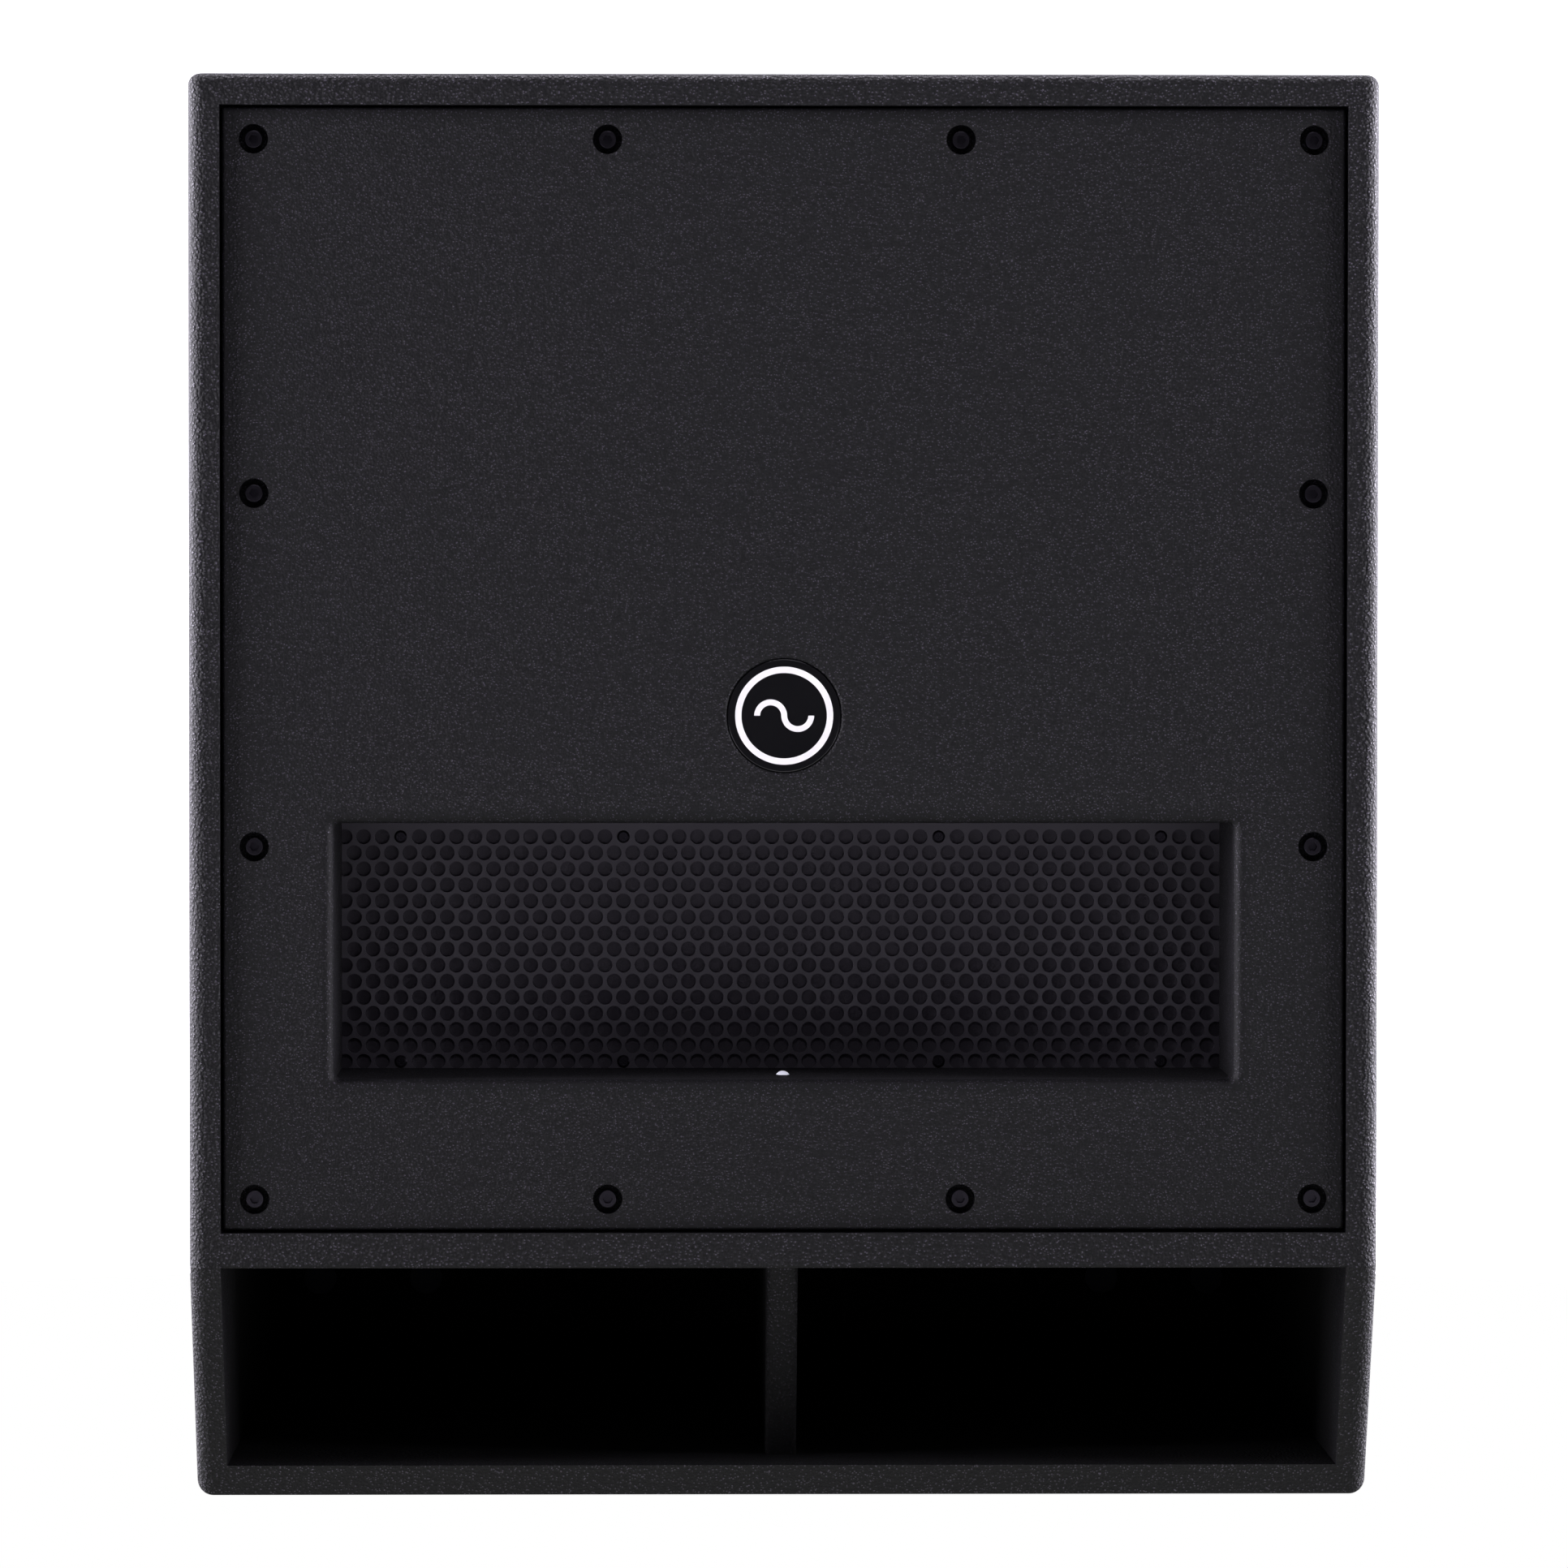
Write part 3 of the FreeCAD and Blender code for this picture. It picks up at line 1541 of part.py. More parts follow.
# ---------------------------------------------------------------- amplifier
def make_amp_battens():
    """The ledge that the amplifier's panel is screwed to, glued behind the back board."""
    inner_half = "(amp_half-amp_ledge)"
    inner_low = "(amp_low+amp_ledge)"
    inner_high = "(amp_high-amp_ledge)"
    reach = (f"{AMP_BACK}-amp_batten_thick", AMP_BACK)
    full = (f"-({inner_half}+amp_batten)", f"{inner_half}+amp_batten")
    upright = (inner_low, inner_high)
    strips = [
        block("amp_batten_low", full, reach, (f"{inner_low}-amp_batten", inner_low)),
        block("amp_batten_high", full, reach, (inner_high, f"{inner_high}+amp_batten")),
        block("amp_batten_left", (f"-({inner_half}+amp_batten)", f"-{inner_half}"), reach, upright),
        block("amp_batten_right", (inner_half, f"{inner_half}+amp_batten"), reach, upright),
    ]
    start = f"{AMP_BACK}-wood_screw_long"
    holes = [
        rod("amp_batten_hole", "y", (x, start, z), "wood_screw_long", "wood_screw_hole")
        for x, z in amp_screw_places()
    ]
    return without("amp_battens", group("amp_strips", strips), holes)


def amp_screw_places():
    side = "(amp_half-amp_screw_edge)"
    middle = "((amp_low+amp_high)/2)"
    rise = "((amp_high-amp_low)/2-amp_screw_edge)"
    places = [(x, f"{middle}+{step}*{rise}") for x in both(side) for step in (-1, -0.33, 0.33, 1)]
    return places + [("0", f"{middle}+{step}*{rise}") for step in (-1, 1)]


def lens_places():
    return [(f"lens_left+{number}*lens_pitch", "lens_height") for number in range(4)]


def jack_places(height):
    return [("jack_left", height), ("jack_right", height)]


def make_amp_panel():
    body = new_body("amp_panel")
    rim = rectangle("-amp_half+amp_gap", "amp_low+amp_gap", "amp_half-amp_gap", "amp_high-amp_gap")
    holes = [circle("knob_side", "knob_height", "knob_hole")]
    holes += [circle(x, "button_height", "button_hole") for x in ("button_left", "button_right")]
    holes += [circle(x, z, "lens_hole") for x, z in lens_places()]
    holes += [circle(x, z, "wood_screw_hole") for x, z in amp_screw_places()]
    jacks = jack_places("input_height") + jack_places("output_height")
    holes += [circle(x, z, "jack_hole") for x, z in jacks]
    holes.append(
        rectangle(
            "entry_left+entry_body",
            "entry_height-entry_half_tall+entry_body",
            "entry_right-entry_body",
            "entry_height+entry_half_tall-entry_body",
        )
    )
    pad(body, "XZ", AMP_BACK, "amp_sheet", [rim, *holes])
    return body


def make_heat_sink():
    """An extruded finned plate on the outside of the amplifier's panel."""
    body = new_body("heat_sink")
    base = rectangle("sink_left", "sink_low", "sink_right", "sink_high")
    pad(body, "XZ", AMP_FACE, "sink_base", [base])
    fin = rectangle("sink_left", "sink_low", "sink_left+fin_thick", "sink_high")
    feature = pad(body, "XZ", f"{AMP_FACE}+sink_base", "fin_tall", [fin])
    pattern = body.newObject("PartDesign::LinearPattern", "fins")
    pattern.Originals = [feature]
    pattern.Direction = (origin_feature(body, "X_Axis"), [""])
    pattern.setExpression("Length", bound("sink_right-sink_left-fin_thick"))
    pattern.Occurrences = 17
    body.Tip = pattern
    doc.recompute()
    return body


def make_amp_housing():
    """A folded sheet box behind the panel, open towards it, with a hole for each cable."""
    body = new_body("amp_housing")
    low = "(amp_low+amp_ledge+housing_gap)"
    high = "(amp_high-amp_ledge-housing_gap)"
    front = f"({AMP_BACK}-housing_deep)"
    pad(body, "XZ", front, "housing_deep", [rectangle("-housing_half", low, "housing_half", high)])
    side = "(housing_half-housing_sheet)"
    hollow = rectangle(f"-{side}", f"{low}+housing_sheet", side, f"{high}-housing_sheet")
    pocket(body, "XZ", f"{front}+housing_sheet", "housing_deep", [hollow])
    return body


def make_circuit(label, low, high, parts):
    """A circuit board parallel to the panel. Each part is (shape, x, z, size, length) and stands forward."""
    back = f"({AMP_BACK}-circuit_gap)"
    face = f"({back}-circuit_board)"
    pieces = [block(f"{label}_plate", both("circuit_half"), (face, back), (low, high))]
    for shape, x, z, size, length in parts:
        if shape == "round":
            start = (x, f"{face}-{length}", f"{low}+{z}")
            pieces.append(rod(f"{label}_can", "y", start, length, size))
        else:
            sides = ((f"{x}-{size}", f"{x}+{size}"), (f"{face}-{length}", face))
            pieces.append(block(f"{label}_block", *sides, (f"{low}+{z}", f"{low}+{z}+{size}")))
    return fused(label, pieces)


AMP_PARTS = [
    ("square", "-90", "20", "28", "30"),
    ("square", "-20", "20", "28", "30"),
    ("round", "50", "35", "11", "26"),
    ("round", "80", "35", "11", "26"),
    ("square", "60", "80", "40", "12"),
    ("square", "-60", "90", "30", "18"),
]
POWER_PARTS = [
    ("round", "-70", "80", "38", "50"),
    ("round", "10", "40", "17.5", "45"),
    ("round", "55", "40", "17.5", "45"),
    ("round", "100", "40", "17.5", "45"),
    ("square", "50", "85", "35", "28"),
]


def make_level_knob():
    """A round knob with a pointer groove on its face and a shaft through the panel."""
    body = new_body("level_knob", x="knob_side", z="knob_height")
    foot = f"({AMP_FACE}+knob_gap)"
    face = f"({foot}+knob_tall)"
    turned_about_y(
        body,
        [
            (f"{foot}-shaft_long", "0"),
            (face, "0"),
            (face, "knob_radius*0.85"),
            (foot, "knob_radius"),
            (foot, "knob_shaft"),
            (f"{foot}-shaft_long", "knob_shaft"),
        ],
    )
    fillet(body, "knob_round", lambda edge: lies_at(edge, "y", face))
    mark = rectangle("-knob_mark", "knob_radius*0.2", "knob_mark", "knob_radius")
    pocket(body, "XZ", f"{face}-knob_mark_deep", "knob_mark_deep", [mark])
    return body


def make_button(label, x):
    body = new_body(label, x=x, z="button_height")
    face = f"({AMP_FACE}+button_tall)"
    root = f"({AMP_FACE}-button_root)"
    outline = [(root, "0"), (face, "0"), (face, "button_radius"), (root, "button_radius")]
    turned_about_y(body, outline)
    fillet(body, "button_round", lambda edge: lies_at(edge, "y", face))
    return body


def jack_blank(label):
    """The square flange and round barrel that both kinds of jack share."""
    body = new_body(label)
    flange = rounded_rectangle(
        "-jack_half_wide", "-jack_half_tall", "jack_half_wide", "jack_half_tall", "jack_corner"
    )
    pad(body, "XZ", "amp_sheet", "jack_sheet", [flange])
    pad(body, "XZ", "amp_sheet-jack_long", "jack_long", [circle("0", "0", "jack_barrel")])
    return body


def make_input_jack():
    """A combined jack: a slot for a plug's shell, three pin holes and a bore for a phone plug."""
    body = jack_blank("input_jack")
    face = "(amp_sheet+jack_sheet)"
    pocket(
        body,
        "XZ",
        f"{face}-shell_deep",
        "shell_deep",
        [circle("0", "0", "shell_outer"), circle("0", "0", "shell_inner")],
    )
    pocket(body, "XZ", f"{face}-plug_deep", "plug_deep", [circle("0", "0", "plug_bore")])
    pins = [circle(x, z, "pin_hole") for x, z in pin_places("pin_circle")]
    pocket(body, "XZ", f"{face}-shell_deep", "shell_deep", pins)
    window = rectangle(
        "-latch_half_wide-latch_fit",
        "latch_height-latch_half_tall-latch_fit",
        "latch_half_wide+latch_fit",
        "latch_height+latch_half_tall+latch_fit",
    )
    pocket(body, "XZ", "amp_sheet", "jack_sheet", [window])
    return body


def pin_places(reach):
    """Three pins, one at the top and two lower down."""
    return [("0", reach), (f"-{reach}*sqrt(3)/2", f"-{reach}/2"), (f"{reach}*sqrt(3)/2", f"-{reach}/2")]


def make_output_jack():
    """A jack with three pins standing in a round cavity."""
    body = jack_blank("output_jack")
    face = "(amp_sheet+jack_sheet)"
    pocket(body, "XZ", f"{face}-cavity_deep", "cavity_deep", [circle("0", "0", "cavity_radius")])
    pins = [circle(x, z, "pin_radius") for x, z in pin_places("male_pin_circle")]
    pad(body, "XZ", f"{face}-cavity_deep", "pin_long", pins)
    return body


def make_jacks(label, jack, height):
    """Copies of a jack drawn with the panel's back at Y = 0."""
    links = []
    for x, z in jack_places(height):
        link = doc.addObject("App::Link", f"{label}_copy")
        link.LinkedObject = jack
        place(link, x, AMP_BACK, z)
        links.append(link)
    return group(label, links)


def make_latch(label, x):
    """The release tab in an input jack's flange."""
    height = "(input_height+latch_height)"
    sides = (f"{x}-latch_half_wide", f"{x}+latch_half_wide")
    rise = (f"{height}-latch_half_tall", f"{height}+latch_half_tall")
    return block(label, sides, (f"{AMP_FACE}+latch_root", f"{AMP_FACE}+jack_sheet+latch_tall"), rise)


def make_power_entry():
    """A moulded mains inlet and switch frame: a flange, a body, the inlet's cavity and blades,
    and the rocker's well with a pin across it."""
    body = new_body("power_entry")
    low = "(entry_height-entry_half_tall)"
    high = "(entry_height+entry_half_tall)"
    pad(body, "XZ", AMP_FACE, "entry_sheet", [rectangle("entry_left", low, "entry_right", high)])
    inset = "(entry_body+entry_fit)"
    inner = rectangle(f"entry_left+{inset}", f"{low}+{inset}", f"entry_right-{inset}", f"{high}-{inset}")
    pad(body, "XZ", f"{AMP_FACE}-entry_long", "entry_long", [inner])
    face = f"({AMP_FACE}+entry_sheet)"
    inlet = rectangle("inlet_left", "inlet_low", "inlet_right", "inlet_high")
    pocket(body, "XZ", f"{face}-inlet_deep", "inlet_deep", [inlet])
    well = rectangle("rocker_left", "entry_height-rocker_well", "rocker_right", "entry_height+rocker_well")
    pocket(body, "XZ", f"{face}-rocker_well_deep", "rocker_well_deep", [well])
    middle = "(inlet_left/2+inlet_right/2)"
    blades = []
    for step in ("-blade_pitch", "0", "blade_pitch"):
        centre = f"{middle}+({step})"
        sides = (f"{centre}-blade_half_wide", f"{centre}+blade_half_wide")
        blades.append(rectangle(sides[0], "blade_low", sides[1], "blade_high"))
    pad(body, "XZ", f"{face}-inlet_deep", "blade_long", blades)
    pin = circle(f"{AMP_FACE}-rocker_pivot", "entry_height", "rocker_pin")
    pad(body, "YZ", "rocker_left", "rocker_right-rocker_left", [pin])
    return body


def make_power_rocker():
    """A dished rocker on a pin across its well; at rest its upper end is pressed in."""
    body = new_body("power_rocker", y=f"{AMP_FACE}-rocker_pivot", z="entry_height")
    profile = [
        ("-3", "-5"),
        ("rocker_tall", "-rocker_half_tall"),
        ("rocker_dish", "0"),
        ("rocker_tall", "rocker_half_tall"),
        ("-3", "5"),
    ]
    left = "rocker_left+rocker_fit"
    across = "rocker_right-rocker_left-2*rocker_fit"
    pad(body, "YZ", left, across, [profile])
    pocket(body, "YZ", left, across, [circle("0", "0", "rocker_bore")])
    tilt = FreeCAD.Rotation(FreeCAD.Vector(1, 0, 0), value("rocker_tilt"))
    body.Placement = FreeCAD.Placement(body.Placement.Base, tilt)
    place(body, "0", f"{AMP_FACE}-rocker_pivot", "entry_height")
    doc.recompute()
    return body


def make_lens():
    """A small domed indicator, its dome up and the panel's face at Z = 0."""
    body = new_body("indicator_lens")
    dome = "(lens_radius*lens_radius+lens_dome*lens_dome)/(2*lens_dome)"
    turned_about_z(
        body,
        [
            ("0", "-lens_root"),
            ("lens_radius", "-lens_root"),
            ("lens_radius", "0", "left", dome),
            ("0", "lens_dome"),
        ],
    )
    return body


# ---------------------------------------------------------------- the nodes
def make_nodes():
    small = cross_screw(
        "small_screw_one", "small_screw", "small_screw_long", "small_screw_head", "small_screw_head_tall"
    )
    wood = cross_screw(
        "wood_screw_one", "wood_screw", "wood_screw_long", "wood_screw_head", "wood_screw_head_tall"
    )
    panel_bolt = socket_screw("panel_bolt_one", "panel_bolt_long")
    driver_bolt = socket_screw("driver_bolt_one", "driver_bolt_long")
    panel_nut = make_panel_nut()
    insert = make_castor_insert()
    cup = make_handle_cup()
    panel_screws = panel_screw_places()
    socket_seat = "height-socket_rebate+socket_flange_thick"
    panel_seat = deep("panel_sunk+counterbore_depth")
    nut_seat = f"{BATTEN_FACE}+batten+nut_flange_thick"
    insert_seat = f"{AMP_BACK}-nut_flange_thick"
    flange_face = deep("baffle_depth-flange_thick")
    return [
        make_top_panel(),
        make_bottom_panel(),
        make_side_panel("left_side_panel", f"-{HALF}", f"-{HALF}"),
        make_side_panel("right_side_panel", HALF, INNER),
        make_back_panel(),
        make_port_shelf(),
        make_port_divider(),
        make_driver_baffle(),
        make_rear_brace(),
        make_panel_battens(),
        make_front_panel(),
        make_front_panel_gasket(),
        copies("front_panel_screws", panel_bolt, [("front", x, panel_seat, z) for x, z in panel_screws]),
        copies("panel_t_nuts", panel_nut, [("back", x, nut_seat, z) for x, z in panel_screws]),
        make_badge_disc(),
        make_badge_emblem(),
        make_vent_duct(),
        make_vent_grille(),
        make_grille_foam(),
        copies("grille_screws", small, [("front", x, GRILLE_FACE, z) for x, z in grille_screw_places()]),
        make_led_lens(),
        make_led_board(),
        make_driver_basket(),
        make_driver_cone(),
        make_driver_surround(),
        make_dust_cap(),
        make_driver_spider(),
        make_voice_coil(),
        make_ring("top_plate", PLATE_FACE, "plate_thick", "plate_bore", "plate_radius"),
        make_ring("magnet_ring", MAGNET_FACE, "magnet_thick", "magnet_bore", "magnet_radius"),
        make_pole_yoke(),
        make_driver_terminals(),
        copies("driver_bolts", driver_bolt, [("front", x, flange_face, z) for x, z in driver_bolt_places()]),
        tube("speaker_cable", SPEAKER_ROUTE, "speaker_cable"),
        tube("led_cable", LED_ROUTE, "led_cable"),
        copies("left_handle_cups", cup, handle_cup_places("left")),
        copies("right_handle_cups", cup, handle_cup_places("right")),
        make_handle_bars(),
        copies("handle_screws", wood, handle_screw_places()),
        make_pole_socket(),
        copies("pole_socket_screws", wood, [("up", x, y, socket_seat) for x, y in socket_screw_places()]),
        copies("rubber_feet", make_foot(), [("up", x, y, "foot_lift") for x, y in foot_places()]),
        copies("foot_screws", wood, [("down", x, y, "foot_well_deep") for x, y in foot_places()]),
        make_amp_battens(),
        make_amp_panel(),
        copies("amp_panel_screws", wood, [("back", x, AMP_FACE, z) for x, z in amp_screw_places()]),
        make_heat_sink(),
        make_amp_housing(),
        make_circuit("amplifier_board", "430", "590", AMP_PARTS),
        make_circuit("power_board", "250", "415", POWER_PARTS),
        make_level_knob(),
        make_button("polarity_button", "button_left"),
        make_button("boost_button", "button_right"),
        make_jacks("input_jacks", make_input_jack(), "input_height"),
        make_jacks("output_jacks", make_output_jack(), "output_height"),
        make_latch("left_input_latch", "jack_left"),
        make_latch("right_input_latch", "jack_right"),
        make_power_entry(),
        make_power_rocker(),
        copies("indicator_lenses", make_lens(), [("back", x, AMP_FACE, z) for x, z in lens_places()]),
        copies("castor_inserts", insert, [("front", x, insert_seat, z) for x, z in castor_places()]),
    ]


def check_and_write(nodes):
    """Stop on any failed feature or bad shape, then write one file for each node."""
    doc.recompute()
    failed = [item.Label for item in doc.Objects if {"Invalid", "Error"} & set(item.State)]
    if failed:
        raise ValueError(f"failed features: {failed}")
    for node in nodes:
        if node.Shape.isNull() or not node.Shape.isValid():
            raise ValueError(f"{node.Label} has a bad shape")
    os.makedirs("parts", exist_ok=True)
    for node in nodes:
        node.Shape.exportStep(f"parts/{node.Label}.step")
    print(f"{len(nodes)} nodes written")


check_and_write(make_nodes())
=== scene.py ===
import bmesh
import bpy
import math
from mathutils import Euler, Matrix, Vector


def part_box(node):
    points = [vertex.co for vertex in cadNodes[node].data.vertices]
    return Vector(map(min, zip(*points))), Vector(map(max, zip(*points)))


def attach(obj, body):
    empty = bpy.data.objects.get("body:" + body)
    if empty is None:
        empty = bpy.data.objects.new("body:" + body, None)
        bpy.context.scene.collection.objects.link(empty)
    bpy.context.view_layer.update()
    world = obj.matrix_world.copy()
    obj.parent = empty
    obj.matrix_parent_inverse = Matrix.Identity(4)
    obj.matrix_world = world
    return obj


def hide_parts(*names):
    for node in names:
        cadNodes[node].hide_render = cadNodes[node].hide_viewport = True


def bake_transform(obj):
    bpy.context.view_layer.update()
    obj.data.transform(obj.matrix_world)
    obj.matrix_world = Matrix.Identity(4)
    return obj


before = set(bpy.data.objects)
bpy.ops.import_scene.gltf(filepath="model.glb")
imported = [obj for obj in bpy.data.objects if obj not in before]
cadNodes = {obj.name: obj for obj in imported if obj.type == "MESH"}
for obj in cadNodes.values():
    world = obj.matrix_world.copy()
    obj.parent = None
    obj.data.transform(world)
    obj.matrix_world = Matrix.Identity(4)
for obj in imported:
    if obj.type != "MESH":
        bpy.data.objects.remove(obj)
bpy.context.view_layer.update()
print("frame loaded:", len(cadNodes), "nodes")

mm = 0.001


# ---- small helpers
def linear(hexColour, alpha=1.0):
    # sRGB hex to the linear colour that the shaders take
    parts = [int(hexColour[i:i + 2], 16) / 255 for i in (1, 3, 5)]
    parts = [p / 12.92 if p <= 0.04045 else ((p + 0.055) / 1.055) ** 2.4 for p in parts]
    return (*parts, alpha)


def addNode(tree, kind, settings=None, links=None):
    # one node with its settings, by name or by socket, and what feeds it
    node = tree.nodes.new(kind)
    for name, setting in (settings or {}).items():
        if isinstance(name, str) and hasattr(node, name):
            setattr(node, name, setting)
        else:
            node.inputs[name].default_value = setting
    for name, socket in (links or {}).items():
        tree.links.new(socket, node.inputs[name])
    return node


def newMaterial(name, finish):
    # a Principled material; finish holds the constant values of the shader's own sockets
    material = bpy.data.materials.new(name)
    material.use_nodes = True
    shader = material.node_tree.nodes["Principled BSDF"]
    for socket, setting in finish.items():
        shader.inputs[socket].default_value = setting
    material.diffuse_color = finish["Base Color"]
    return material, material.node_tree, shader


def perMetre(sizeInMm):
    # the texture scale that gives features of this size
    return 1 / (sizeInMm * mm)


def pieceFrom(mesh, name, material, body, smooth=True):
    # a finished bmesh becomes a piece that rides on a body
    data = bpy.data.meshes.new(name)
    mesh.to_mesh(data)
    mesh.free()
    for face in data.polygons:
        face.use_smooth = smooth
    data.materials.append(material)
    piece = bpy.data.objects.new(name, data)
    bpy.context.scene.collection.objects.link(piece)
    if body:
        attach(piece, body)
    return piece


# ---- sprayed coats
carcassCoat = {
    "pigment": "#020203",      # carbon black in the resin
    "paintedGlintTips": "#45414b",         # painted highlight: tops of the grain painted paler and faintly violet
    "roughness": 0.22,         # the droplets' tops, cured glossy
    "pits": 0.65,              # the gaps between them, dusty
    "grain": 1.45,             # mm from droplet to droplet, drawn a third coarser so that it shows from afar
    "relief": 0.66,            # mm
    "wander": 0.35,            # how far the droplets run together into worms
}
# the panel's droplet tops carry the same painted highlight, a little darker
panelCoat = {**carcassCoat, "paintedGlintTips": "#403c46", "roughness": 0.24, "grain": 1.20, "relief": 0.54}
coatMakeUp = {
    "index": 1.5,              # cured polyurea
    "gleam": 0.2,              # the pits between the droplets swallow most of a head-on gleam
    "stir": 2.2, "stirDetail": 2.0,                      # size of the swirls, in grains
    "melt": 0.45,              # how softly one droplet runs into the next
    "crumb": 0.7, "crumbDetail": 3.0, "crumbRough": 0.62, "crumbShare": 0.4,
    "tipFrom": 0.91, "tipTo": 1.12,                      # heights where the painted highlight on the tops begins and is full
    "patches": 9.0, "patchDetail": 2.0, "patchSpread": 0.05,   # gloss drifts over about a hand's width
}
panelEdge = {"smooth": 9.0, "thin": 0.25}   # mm beside rim and vent where the spray thins, and to what share
# painted shade for the inside of the ports: a near-black colour and a matt roughness
portPaintedShade = {"colour": "#020202", "roughness": 0.95, "reach": 60.0, "margin": 0.5}   # flat black, mm


def edgeFade(tree, place, low, high, margin):
    # 0 at the rim of a rectangle in X and Z, 1 once further inside than the margin
    split = addNode(tree, "ShaderNodeSeparateXYZ", {}, {"Vector": place})
    shares = []
    for axis, least, most in (("X", low.x, high.x), ("Z", low.z, high.z)):
        middle, half = (least + most) / 2, (most - least) / 2
        off = addNode(tree, "ShaderNodeMath", {"operation": "SUBTRACT", 1: middle},
                      {0: split.outputs[axis]})
        away = addNode(tree, "ShaderNodeMath", {"operation": "ABSOLUTE"}, {0: off.outputs[0]})
        fade = {"interpolation_type": "SMOOTHSTEP", "From Min": half, "From Max": half - margin}
        shares.append(addNode(tree, "ShaderNodeMapRange", fade, {"Value": away.outputs[0]}).outputs["Result"])
    return addNode(tree, "ShaderNodeMath", {"operation": "MULTIPLY"}, {0: shares[0], 1: shares[1]}).outputs[0]


def dropletHeight(tree, place, look):
    # soft domes stirred into worms, with crumbs of overspray on them
    grain, plan = look["grain"], coatMakeUp
    stir = addNode(tree, "ShaderNodeTexNoise",
                   {"Scale": perMetre(grain * plan["stir"]), "Detail": plan["stirDetail"]}, {"Vector": place})
    push = addNode(tree, "ShaderNodeVectorMath",
                   {"operation": "SCALE", "Scale": look["wander"] * 2 * grain * mm},
                   {0: stir.outputs["Color"]})
    moved = addNode(tree, "ShaderNodeVectorMath", {"operation": "ADD"}, {0: place, 1: push.outputs[0]})
    drops = addNode(tree, "ShaderNodeTexVoronoi",
                    {"feature": "SMOOTH_F1", "Scale": perMetre(grain), "Smoothness": plan["melt"]},
                    {"Vector": moved.outputs[0]})
    crumbs = addNode(tree, "ShaderNodeTexNoise",
                     {"Scale": perMetre(grain * plan["crumb"]), "Detail": plan["crumbDetail"],
                      "Roughness": plan["crumbRough"]}, {"Vector": moved.outputs[0]})
    dome = addNode(tree, "ShaderNodeMath", {"operation": "SUBTRACT", 0: 1.0}, {1: drops.outputs["Distance"]})
    return addNode(tree, "ShaderNodeMath", {"operation": "MULTIPLY_ADD", 1: plan["crumbShare"]},
                   {0: crumbs.outputs["Fac"], 2: dome.outputs[0]}).outputs[0]


def thinnedShare(tree, place, rimNode, vent):
    # a panel sprayed flat: the coat thins out beside its rim and round its vent
    smooth = panelEdge["smooth"] * mm
    reach = Vector((1, 0, 1)) * smooth
    inside = edgeFade(tree, place, *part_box(rimNode), smooth)
    hole = edgeFade(tree, place, vent[0] - reach, vent[1] + reach, smooth)
    left = addNode(tree, "ShaderNodeMath", {"operation": "SUBTRACT", 0: 1.0}, {1: hole})
    share = addNode(tree, "ShaderNodeMath", {"operation": "MULTIPLY"}, {0: inside, 1: left.outputs[0]})
    return addNode(tree, "ShaderNodeMapRange", {"To Min": panelEdge["thin"], "To Max": 1.0},
                   {"Value": share.outputs[0]}).outputs["Result"]


def paintShadeInside(tree, place, low, high, colour, gloss):
    # painted shade: inside the ports the coat is painted flat black and made matt, deepening over the reach from
    # the mouth
    within = edgeFade(tree, place, low, high, portPaintedShade["margin"] * mm)
    split = addNode(tree, "ShaderNodeSeparateXYZ", {}, {"Vector": place})
    deep = addNode(tree, "ShaderNodeMapRange",
                   {"interpolation_type": "SMOOTHSTEP", "From Min": low.y,
                    "From Max": low.y + portPaintedShade["reach"] * mm}, {"Value": split.outputs["Y"]})
    ahead = addNode(tree, "ShaderNodeMath", {"operation": "LESS_THAN", 1: high.y}, {0: split.outputs["Y"]})
    along = addNode(tree, "ShaderNodeMath", {"operation": "MULTIPLY"},
                    {0: deep.outputs["Result"], 1: ahead.outputs[0]})
    share = addNode(tree, "ShaderNodeMath", {"operation": "MULTIPLY"}, {0: along.outputs[0], 1: within})
    shadeShare = share.outputs[0]
    paintedShadeMix = addNode(tree, "ShaderNodeMix", {"data_type": "RGBA", 7: linear(portPaintedShade["colour"])},
                     {0: shadeShare, 6: colour})
    flat = addNode(tree, "ShaderNodeMapRange", {"To Max": portPaintedShade["roughness"]},
                   {"Value": shadeShare, "To Min": gloss})
    return paintedShadeMix.outputs[2], flat.outputs["Result"]


